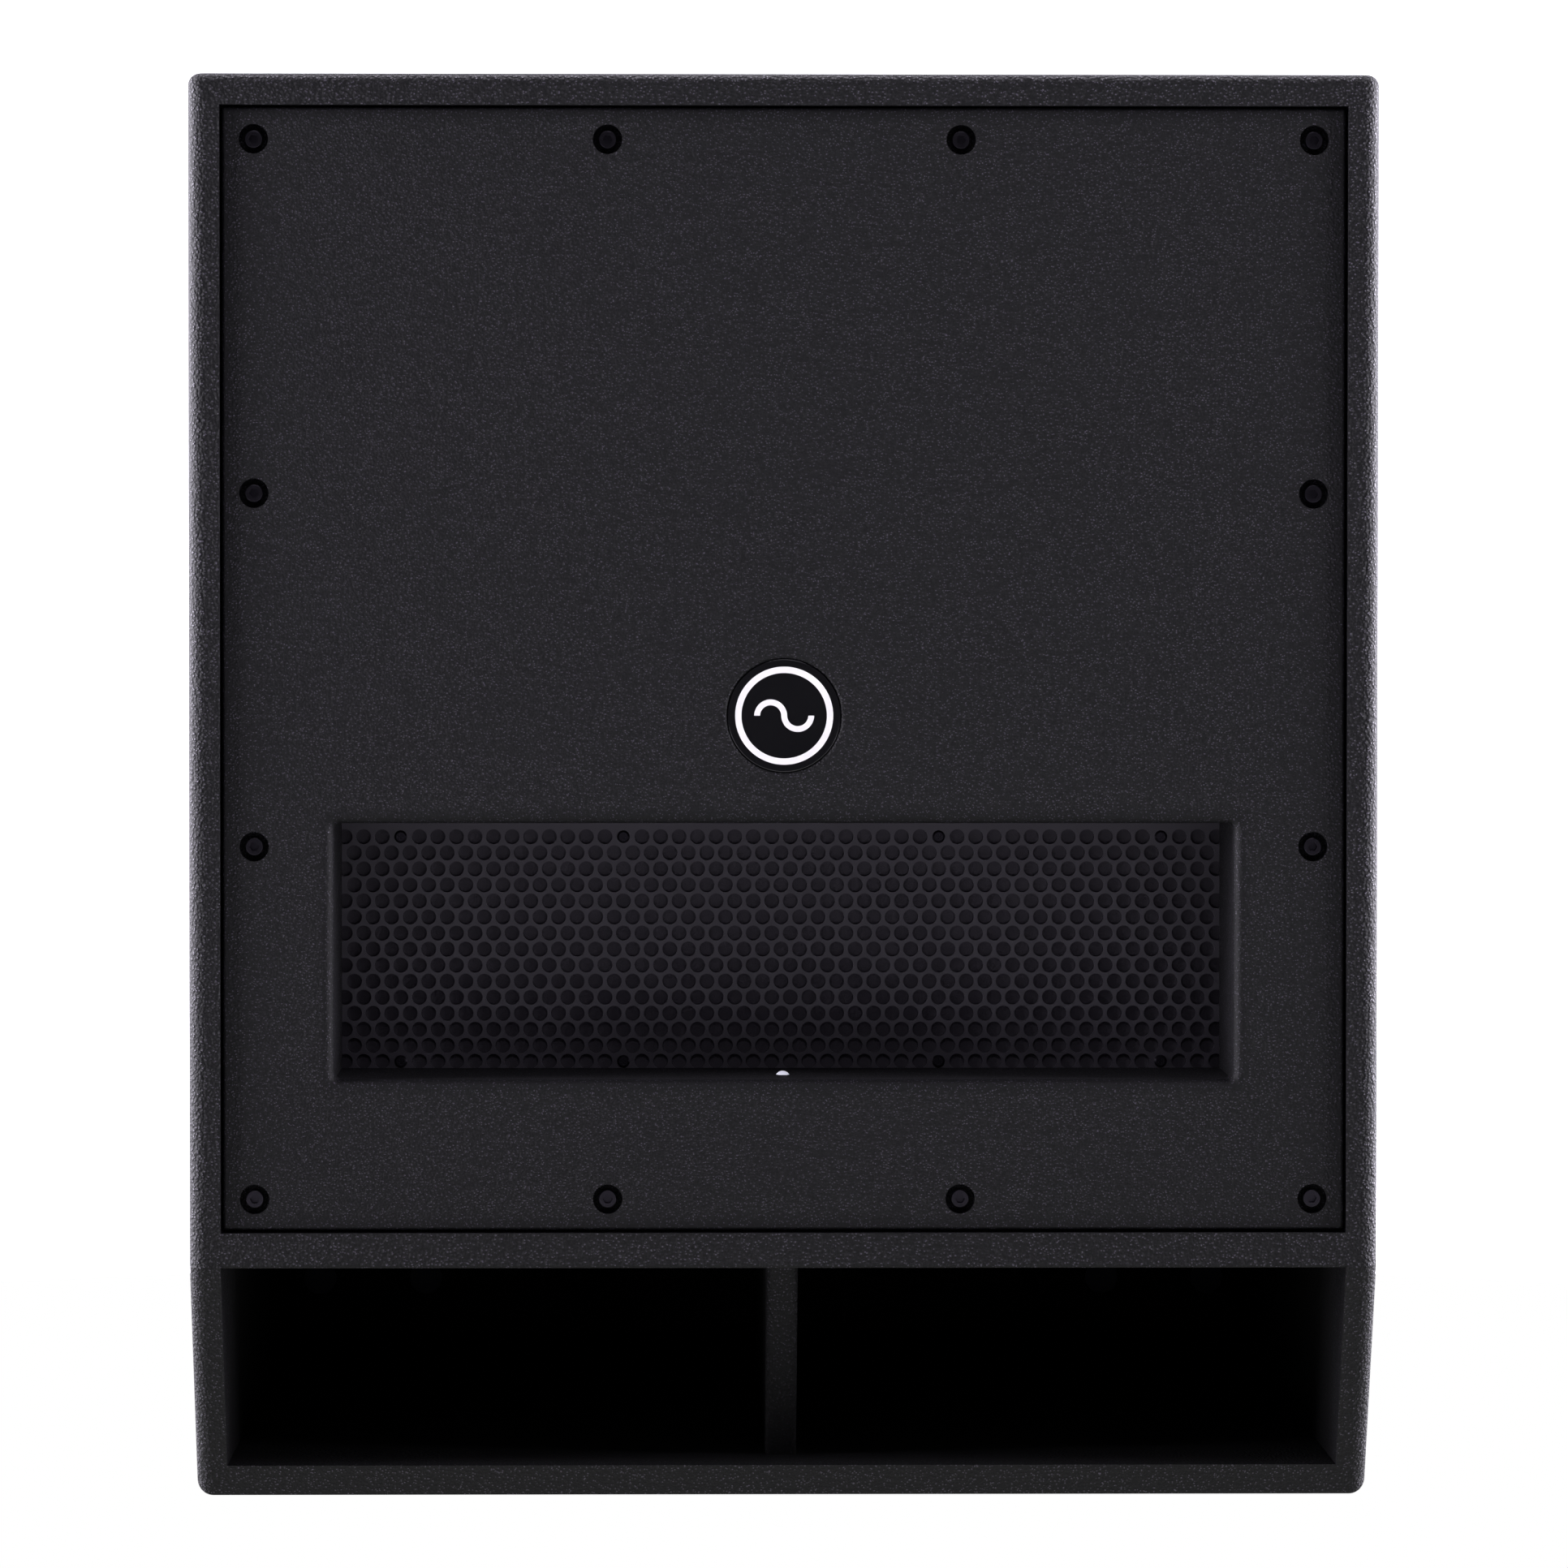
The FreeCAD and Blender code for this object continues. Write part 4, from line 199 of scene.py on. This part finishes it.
def sprayedCoat(name, look, thinning=None, ports=None):
    # polyurea sprayed on birch ply: droplets set as a hard leathery skin, each with a small glint from its gloss
    # and a painted highlight on its top
    plan = coatMakeUp
    material, tree, shader = newMaterial(name, {
        "Base Color": linear(look["pigment"]), "Roughness": look["roughness"],
        "IOR": plan["index"], "Specular IOR Level": plan["gleam"],
    })
    place = addNode(tree, "ShaderNodeTexCoord").outputs["Object"]
    height = dropletHeight(tree, place, look)
    bump = addNode(tree, "ShaderNodeBump", {"Strength": 1.0, "Distance": look["relief"] * mm},
                   {"Height": height})
    if thinning:
        tree.links.new(thinnedShare(tree, place, *thinning), bump.inputs["Strength"])
    # share of each droplet's top, where the highlight is painted and the coat is glossier
    paintedGlintTips = addNode(tree, "ShaderNodeMapRange", {"From Min": plan["tipFrom"], "From Max": plan["tipTo"]},
                   {"Value": height}).outputs["Result"]
    # painted highlight: the tops are painted paler than the pigment
    tint = addNode(tree, "ShaderNodeMix",
                   {"data_type": "RGBA", 6: linear(look["pigment"]), 7: linear(look["paintedGlintTips"])}, {0: paintedGlintTips})
    patches = addNode(tree, "ShaderNodeTexNoise", {"Scale": plan["patches"], "Detail": plan["patchDetail"]},
                      {"Vector": place})
    satin = addNode(tree, "ShaderNodeMapRange",
                    {"To Min": look["roughness"] - plan["patchSpread"],
                     "To Max": look["roughness"] + plan["patchSpread"]}, {"Value": patches.outputs["Fac"]})
    dusty = addNode(tree, "ShaderNodeMapRange", {"To Min": look["pits"]},
                    {"Value": paintedGlintTips, "To Max": satin.outputs["Result"]})
    colour, gloss = tint.outputs[2], dusty.outputs["Result"]
    # painted shade deep in the ports when they are given
    if ports:
        colour, gloss = paintShadeInside(tree, place, *ports, colour, gloss)
    tree.links.new(colour, shader.inputs["Base Color"])
    tree.links.new(gloss, shader.inputs["Roughness"])
    tree.links.new(bump.outputs["Normal"], shader.inputs["Normal"])
    return material


ventLow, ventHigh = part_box("vent_grille")
ventBoard = Vector((12, 0, 12)) * mm   # the duct's boards lie outside the opening by their own thickness
skin = Vector((1, 0, 1)) * mm          # takes in the faces of the boards round the ports
# the box of the ports, inside which shade is painted into the carcass coat
portLow = Vector((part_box("left_side_panel")[1].x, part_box("port_divider")[0].y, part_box("bottom_panel")[1].z))
portHigh = Vector((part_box("right_side_panel")[0].x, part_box("port_divider")[1].y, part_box("port_shelf")[0].z))
carcassMaterial = sprayedCoat("sprayedPolyurea", carcassCoat, ports=(portLow - skin, portHigh + skin))
panelMaterial = sprayedCoat("finePolyurea", panelCoat,
                            thinning=("front_panel", (ventLow + ventBoard, ventHigh - ventBoard)))


# ---- the other finishes: colour, roughness, metallic, size and height of their small relief in mm
finishes = {
    # end grain and face veneer of bare boards
    "birchPly": {"colour": "#b48a58", "rough": 0.70, "speckle": 2.5, "relief": 0.05},
    # orange peel on steel
    "powderCoat": {"colour": "#171619", "rough": 0.42, "speckle": 0.9, "relief": 0.04},
    # the same coat, scuffed a little paler on the perforated sheet
    "grilleCoat": {"colour": "#2d2a30", "rough": 0.40, "speckle": 0.7, "relief": 0.03},
    # oiled black screws, dark with a soft metal glint
    "blackOxide": {"colour": "#2b292e", "rough": 0.30, "metal": 0.9, "speckle": 0.4, "relief": 0.01},
    # bright bluish plate on pressed steel
    "zincPlate": {"colour": "#b9bcc0", "rough": 0.30, "metal": 1.0, "speckle": 1.5, "relief": 0.01},
    # smoky passivated plate
    "blackZinc": {"colour": "#26262a", "rough": 0.45, "metal": 0.8, "speckle": 0.6, "relief": 0.01},
    # warm mirror on small levers
    "nickelPlate": {"colour": "#c9c4ba", "rough": 0.18, "metal": 1.0, "speckle": 0.8, "relief": 0.003},
    # lacquered black dome
    "glossDisc": {"colour": "#040405", "rough": 0.12, "speckle": 6.0, "relief": 0.01},
    # slightly chalky printed white
    "whiteInk": {"colour": "#e6e5e2", "rough": 0.38, "speckle": 0.5, "relief": 0.004},
    # milky polycarbonate
    "diffuser": {"colour": "#eef1f6", "rough": 0.30, "speckle": 0.4, "relief": 0.004},
    # green lacquer over copper tracks
    "solderMask": {"colour": "#14402a", "rough": 0.35, "speckle": 1.2, "relief": 0.02},
    # dull painted casting
    "dieCast": {"colour": "#17171a", "rough": 0.50, "speckle": 1.6, "relief": 0.06},
    # felted fibres
    "paperPulp": {"colour": "#161616", "rough": 0.80, "speckle": 1.8, "relief": 0.10},
    # doped weave
    "treatedCloth": {"colour": "#1a1a1a", "rough": 0.70, "speckle": 0.7, "relief": 0.08},
    # sintered grey ceramic
    "ferriteGrey": {"colour": "#2b2b2d", "rough": 0.60, "speckle": 0.8, "relief": 0.03},
    # soft cable jacket
    "vinylJacket": {"colour": "#101011", "rough": 0.45, "speckle": 3.0, "relief": 0.02},
    # reticulated cells that swallow light
    "openFoam": {"colour": "#28252b", "rough": 0.95, "speckle": 0.6, "relief": 0.12},
    # finer closed cells
    "closedFoam": {"colour": "#161616", "rough": 0.90, "speckle": 0.5, "relief": 0.1},
    # matt moulded feet and grips
    "blackRubber": {"colour": "#131314", "rough": 0.72, "speckle": 0.8, "relief": 0.03},
    # silky extrusion
    "blackAnodised": {"colour": "#1b1b1e", "rough": 0.34, "metal": 0.6, "speckle": 0.3, "relief": 0.006},
    # spark-eroded connector bodies
    "glassNylon": {"colour": "#1a1a1c", "rough": 0.50, "speckle": 0.5, "relief": 0.02},
    # finer moulding that fingers touch
    "knobPlastic": {"colour": "#1c1c1f", "rough": 0.40, "speckle": 0.5, "relief": 0.015},
}
wear = {"speckleDetail": 3.0, "smears": 60.0, "smearDetail": 4.0, "least": 0.8, "most": 1.2}   # gloss drifts
made = {"sprayedPolyurea": carcassMaterial, "finePolyurea": panelMaterial}


def mouldedOrPlated(name, look):
    # a plain finish with its own small relief and a slightly uneven gloss
    material, tree, shader = newMaterial(name, {
        "Base Color": linear(look["colour"]), "Roughness": look["rough"], "Metallic": look.get("metal", 0.0),
    })
    place = addNode(tree, "ShaderNodeTexCoord").outputs["Object"]
    noise = addNode(tree, "ShaderNodeTexNoise",
                    {"Scale": perMetre(look["speckle"]), "Detail": wear["speckleDetail"]}, {"Vector": place})
    bump = addNode(tree, "ShaderNodeBump", {"Strength": 1.0, "Distance": look["relief"] * mm},
                   {"Height": noise.outputs["Fac"]})
    smears = addNode(tree, "ShaderNodeTexNoise", {"Scale": wear["smears"], "Detail": wear["smearDetail"]},
                     {"Vector": place})
    gloss = addNode(tree, "ShaderNodeMapRange",
                    {"To Min": look["rough"] * wear["least"], "To Max": look["rough"] * wear["most"]},
                    {"Value": smears.outputs["Fac"]})
    tree.links.new(gloss.outputs["Result"], shader.inputs["Roughness"])
    tree.links.new(bump.outputs["Normal"], shader.inputs["Normal"])
    return material


for name, look in finishes.items():
    made[name] = mouldedOrPlated(name, look)

dressing = {
    "sprayedPolyurea": ["top_panel", "bottom_panel", "left_side_panel", "right_side_panel", "back_panel",
                        "port_shelf", "port_divider", "driver_baffle", "vent_duct", "amp_battens",
                        "panel_battens"],
    "finePolyurea": ["front_panel"],
    "birchPly": ["rear_brace"],
    "grilleCoat": ["vent_grille"],
    "powderCoat": ["left_handle_cups", "right_handle_cups", "pole_socket", "amp_panel"],
    "blackOxide": ["front_panel_screws", "grille_screws", "driver_bolts", "handle_screws",
                   "pole_socket_screws",
                   "foot_screws", "amp_panel_screws"],
    "zincPlate": ["panel_t_nuts", "amp_housing", "top_plate", "pole_yoke"],
    "blackZinc": ["castor_inserts"],
    "nickelPlate": ["left_input_latch", "right_input_latch"],
    "glossDisc": ["badge_disc"],
    "whiteInk": ["badge_emblem"],
    "diffuser": ["front_led_lens", "indicator_lenses"],
    "solderMask": ["front_led_board", "amplifier_board", "power_board"],
    "dieCast": ["driver_basket"],
    "paperPulp": ["driver_cone", "dust_cap", "voice_coil"],
    "treatedCloth": ["driver_surround", "driver_spider"],
    "ferriteGrey": ["magnet_ring"],
    "vinylJacket": ["speaker_cable", "led_cable"],
    "openFoam": ["grille_foam"],
    "closedFoam": ["front_panel_gasket"],
    "blackRubber": ["rubber_feet", "handle_bars"],
    "blackAnodised": ["heat_sink"],
    "glassNylon": ["driver_terminals", "input_jacks", "output_jacks", "power_entry", "power_rocker"],
    "knobPlastic": ["level_knob", "polarity_button", "boost_button"],
}
for materialName, names in dressing.items():
    for name in names:
        slots = cadNodes[name].data.materials
        slots.clear()
        slots.append(made[materialName])
print("materials dressed:", sum(len(names) for names in dressing.values()), "nodes")

# ---- printing on the amplifier panel
printing = {
    "lift": 0.06,              # mm, the ink's thickness
    "line": 0.6,               # mm, the ruled lines
    "ticks": 11, "sweep": 300, # marks over the knob's travel in degrees
    "tickFrom": 14.0, "tickTo": 17.5, "tickWide": 0.8,
    "margin": 4.0,             # mm between a fitting and the frame ruled round it
    "framed": ["polarity_button", "boost_button", "input_jacks", "output_jacks", "power_entry",
               "indicator_lenses"],
}


def facePlace(x, z):
    # just proud of the amplifier panel's outer face
    return Vector((x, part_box("amp_panel")[1].y + printing["lift"] * mm, z))


def addBar(mesh, start, end, thick):
    # a flat printed stroke on the panel from one (x, z) to another
    start, end = Vector(start), Vector(end)
    along = end - start
    side = Vector((-along.y, along.x)).normalized() * thick / 2
    corners = (start + side, start - side, end - side, end + side)
    mesh.faces.new([mesh.verts.new(facePlace(*corner)) for corner in corners])


def rule(mesh, low, high):
    # a thin printed frame round a box in X and Z
    thick = printing["line"] * mm
    corners = [(low.x, low.z), (high.x, low.z), (high.x, high.z), (low.x, high.z)]
    for start, end in zip(corners, corners[1:] + corners[:1]):
        addBar(mesh, start, end, thick)


def printTicks(mesh):
    # marks round the level knob
    low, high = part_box("level_knob")
    hub = Vector(((low.x + high.x) / 2, (low.z + high.z) / 2))
    near, far = printing["tickFrom"] * mm, printing["tickTo"] * mm
    for number in range(printing["ticks"]):
        turn = math.radians(printing["sweep"] * (number / (printing["ticks"] - 1) - 0.5))
        ray = Vector((-math.sin(turn), math.cos(turn)))
        addBar(mesh, hub + ray * near, hub + ray * far, printing["tickWide"] * mm)


def printPanel():
    mesh = bmesh.new()
    printTicks(mesh)
    margin = Vector((1, 0, 1)) * printing["margin"] * mm
    for name in printing["framed"]:
        low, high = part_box(name)
        rule(mesh, low - margin, high + margin)
    return pieceFrom(mesh, "panelPrinting", made["whiteInk"], "cabinet", smooth=False)


printPanel()
print("amplifier panel printed")

# ---- rocker marks, moulded in white on the two faces of the mains rocker
rocker = {
    "tilt": 9,                                   # degrees at rest, half of its swing
    "pivotIn": 4.0, "dish": 6.4,                 # mm from panel in to pivot, and out to the dish's middle
    "tall": 9.2, "half": 12.0,                   # mm out and along to the dish's ends
    "mark": 2.2, "stroke": 0.7, "lift": 0.08,    # mm, the marks
    "around": 32,                                # sides of the ring
}


def rockerFace(side):
    # the middle of one half of the dished face, and the way up along it
    low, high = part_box("power_rocker")
    pivot = Vector(((low.x + high.x) / 2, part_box("amp_panel")[1].y - rocker["pivotIn"] * mm,
                    sum(corner.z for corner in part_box("power_entry")) / 2))
    turn = Euler((math.radians(rocker["tilt"]), 0, 0)).to_matrix()
    inner = turn @ Vector((0, rocker["dish"], 0)) * mm
    outer = turn @ Vector((0, rocker["tall"], side * rocker["half"])) * mm
    up = (outer - inner).normalized()
    out = up.cross(Vector((1, 0, 0)))
    out = out if out.y > 0 else -out
    return pivot + (inner + outer) / 2 + out * rocker["lift"] * mm, up


def markRocker():
    # a bar on one half and a ring on the other
    mesh = bmesh.new()
    half, stroke = rocker["mark"] * mm, rocker["stroke"] * mm
    middle, up = rockerFace(1)
    across = Vector((1, 0, 0))
    mesh.faces.new([mesh.verts.new(middle + across * a * stroke / 2 + up * b * half)
                    for a, b in ((-1, -1), (1, -1), (1, 1), (-1, 1))])
    middle, up = rockerFace(-1)
    count = rocker["around"]
    rings = [[mesh.verts.new(middle + (across * math.sin(a) + up * math.cos(a)) * radius)
              for a in (2 * math.pi * i / count for i in range(count))] for radius in (half, half - stroke)]
    for i in range(count):
        j = (i + 1) % count
        mesh.faces.new((rings[0][i], rings[0][j], rings[1][j], rings[1][i]))
    return pieceFrom(mesh, "rockerMarks", made["whiteInk"], "mains_switch", smooth=False)


markRocker()
print("rocker marked")

# ---- the two cloth rings, each cut into wedges that take its place
softRings = {
    "wedges": 24,
    "driver_surround": {"name": "bendingSurround", "still": 204.0, "moving": 186.0},   # mm from the axis
    "driver_spider": {"name": "bendingSpider", "still": 107.0, "moving": 57.0},
}


def bendRing(node):
    look = softRings[node]
    whole = bmesh.new()
    whole.from_mesh(cadNodes[node].data)
    whole.transform(cadNodes[node].matrix_world)
    low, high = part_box(node)
    hub = (low + high) / 2
    half = math.pi / softRings["wedges"]
    for number in range(softRings["wedges"]):
        middle = half * (2 * number + 1)
        wedge = whole.copy()
        for side in (-1, 1):
            cut = middle + side * half
            away = Vector((-math.sin(cut), 0, math.cos(cut))) * side
            bmesh.ops.bisect_plane(wedge, geom=[*wedge.verts, *wedge.edges, *wedge.faces], plane_co=hub,
                                   plane_no=away, clear_outer=True)
        name = f"{look['name']}{number + 1:02d}"
        piece = pieceFrom(wedge, name, made["treatedCloth"], None)
        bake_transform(piece)
        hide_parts(node)
    whole.free()


for node in ("driver_surround", "driver_spider"):
    bendRing(node)

# ---- stage, lights and camera
room = {
    "core": 1.0, "radius": 8.0, "bend": 2.0, "height": 5.5,
    "around": 64, "steps": 12,
    "paper": "#f4f3f6", "unlit": "#848387", "glow": "#ffffff", "roughness": 0.9,
    "bright": 1.0,             # the paper behind, lit by its own lamps until it burns out
    "from": -1.4, "to": -0.6,  # where along Y the lit paper begins
    "half": 1.5, "fade": 0.8,  # half the lit strip's width, and how softly it ends
}


def paperMaterial():
    # seamless paper: a white burnt-out strip behind, grey where no lamp of its own reaches
    material, tree, shader = newMaterial("whitePaper", {
        "Base Color": linear(room["paper"]), "Roughness": room["roughness"],
        "Emission Color": linear(room["glow"]),
    })
    place = addNode(tree, "ShaderNodeTexCoord").outputs["Object"]
    split = addNode(tree, "ShaderNodeSeparateXYZ", {}, {"Vector": place})
    behind = addNode(tree, "ShaderNodeMapRange",
                     {"interpolation_type": "SMOOTHSTEP", "From Min": room["from"], "From Max": room["to"],
                      "To Max": room["bright"]}, {"Value": split.outputs["Y"]})
    aside = addNode(tree, "ShaderNodeMath", {"operation": "ABSOLUTE"}, {0: split.outputs["X"]})
    near = addNode(tree, "ShaderNodeMapRange",
                   {"interpolation_type": "SMOOTHSTEP", "From Min": room["half"] + room["fade"],
                    "From Max": room["half"]}, {"Value": aside.outputs[0]})
    glow = addNode(tree, "ShaderNodeMath", {"operation": "MULTIPLY"},
                   {0: behind.outputs["Result"], 1: near.outputs["Result"]})
    shade = addNode(tree, "ShaderNodeMix",
                    {"data_type": "RGBA", 6: linear(room["unlit"]), 7: linear(room["paper"])},
                    {0: behind.outputs["Result"]})
    tree.links.new(shade.outputs[2], shader.inputs["Base Color"])
    tree.links.new(glow.outputs[0], shader.inputs["Emission Strength"])
    return material


def buildRoom():
    # a round sweep: floor, bend and wall as one turned sheet
    radius, bend = room["radius"], room["bend"]
    rows = [(room["core"], 0.0), (radius - bend, 0.0)]
    for step in range(1, room["steps"] + 1):
        turn = math.pi / 2 * step / room["steps"]
        rows.append((radius - bend * (1 - math.sin(turn)), bend * (1 - math.cos(turn))))
    rows.append((radius, room["height"]))
    mesh = bmesh.new()
    around = room["around"]
    turns = [2 * math.pi * i / around for i in range(around)]
    rings = [[mesh.verts.new((r * math.cos(turn), r * math.sin(turn), z)) for turn in turns] for r, z in rows]
    mesh.faces.new(rings[0])
    for inner, outer in zip(rings, rings[1:]):
        for i in range(around):
            j = (i + 1) % around
            mesh.faces.new((inner[i], inner[j], outer[j], outer[i]))
    pieceFrom(mesh, "floor", paperMaterial(), None)


buildRoom()

air = {"tint": "#f6f2ff", "strength": 0.03}   # every lamp has the same cool tint
lamps = {
    # the strips graze the front and make the grain glint, and the banks draw the outline
    "leftStrip": {"at": (-2.4, -0.65, 0.7), "to": (0, -0.2, 0.4), "size": (0.9, 2.0), "power": 195},
    "rightStrip": {"at": (2.4, -0.65, 0.7), "to": (0, -0.2, 0.4), "size": (0.9, 2.0), "power": 150},
    "leftBank": {"at": (-2.4, 0.9, 0.9), "to": (0, 0.1, 0.35), "size": (1.6, 2.0), "power": 250},
    "rightBank": {"at": (2.4, 0.9, 0.9), "to": (0, 0.1, 0.35), "size": (1.6, 2.0), "power": 330},
    "topStrip": {"at": (0, -2.0, 2.3), "to": (0, -0.2, 0.4), "size": (1.6, 0.5), "power": 18},
    "topBank": {"at": (0, 0.6, 2.8), "to": (0, 0, 0.3), "size": (2.2, 1.2), "power": 150},
}


def lightRoom():
    for name, lamp in lamps.items():
        light = bpy.data.lights.new(name, "AREA")
        light.shape = "RECTANGLE"
        light.size, light.size_y = lamp["size"]
        light.energy = lamp["power"]
        light.color = linear(air["tint"])[:3]
        holder = bpy.data.objects.new(name, light)
        holder.location = lamp["at"]
        holder.rotation_euler = (Vector(lamp["to"]) - Vector(lamp["at"])).to_track_quat("-Z", "Y").to_euler()
        bpy.context.scene.collection.objects.link(holder)
    world = bpy.data.worlds.new("studioAir")
    bpy.context.scene.world = world
    world.use_nodes = True
    sky = world.node_tree.nodes["Background"]
    sky.inputs["Color"].default_value = linear(air["tint"])
    sky.inputs["Strength"].default_value = air["strength"]


lightRoom()

camera = {
    "at": (-0.0571, -3.8605, 0.4324),
    "yaw": 0.932, "pitch": -1.385, "roll": -0.028,   # degrees
    "lens": 170.1, "sensor": 36, "far": 60,
}


def placeCamera():
    data = bpy.data.cameras.new("camera")
    data.lens = camera["lens"]
    data.sensor_width = camera["sensor"]
    data.clip_end = camera["far"]
    eye = bpy.data.objects.new("camera", data)
    eye.location = camera["at"]
    turns = (90 + camera["pitch"], camera["roll"], -camera["yaw"])
    eye.rotation_euler = [math.radians(turn) for turn in turns]
    bpy.context.scene.collection.objects.link(eye)
    bpy.context.scene.camera = eye
    bpy.context.scene.view_settings.view_transform = "Standard"


placeCamera()
print("stage, lights and camera placed")
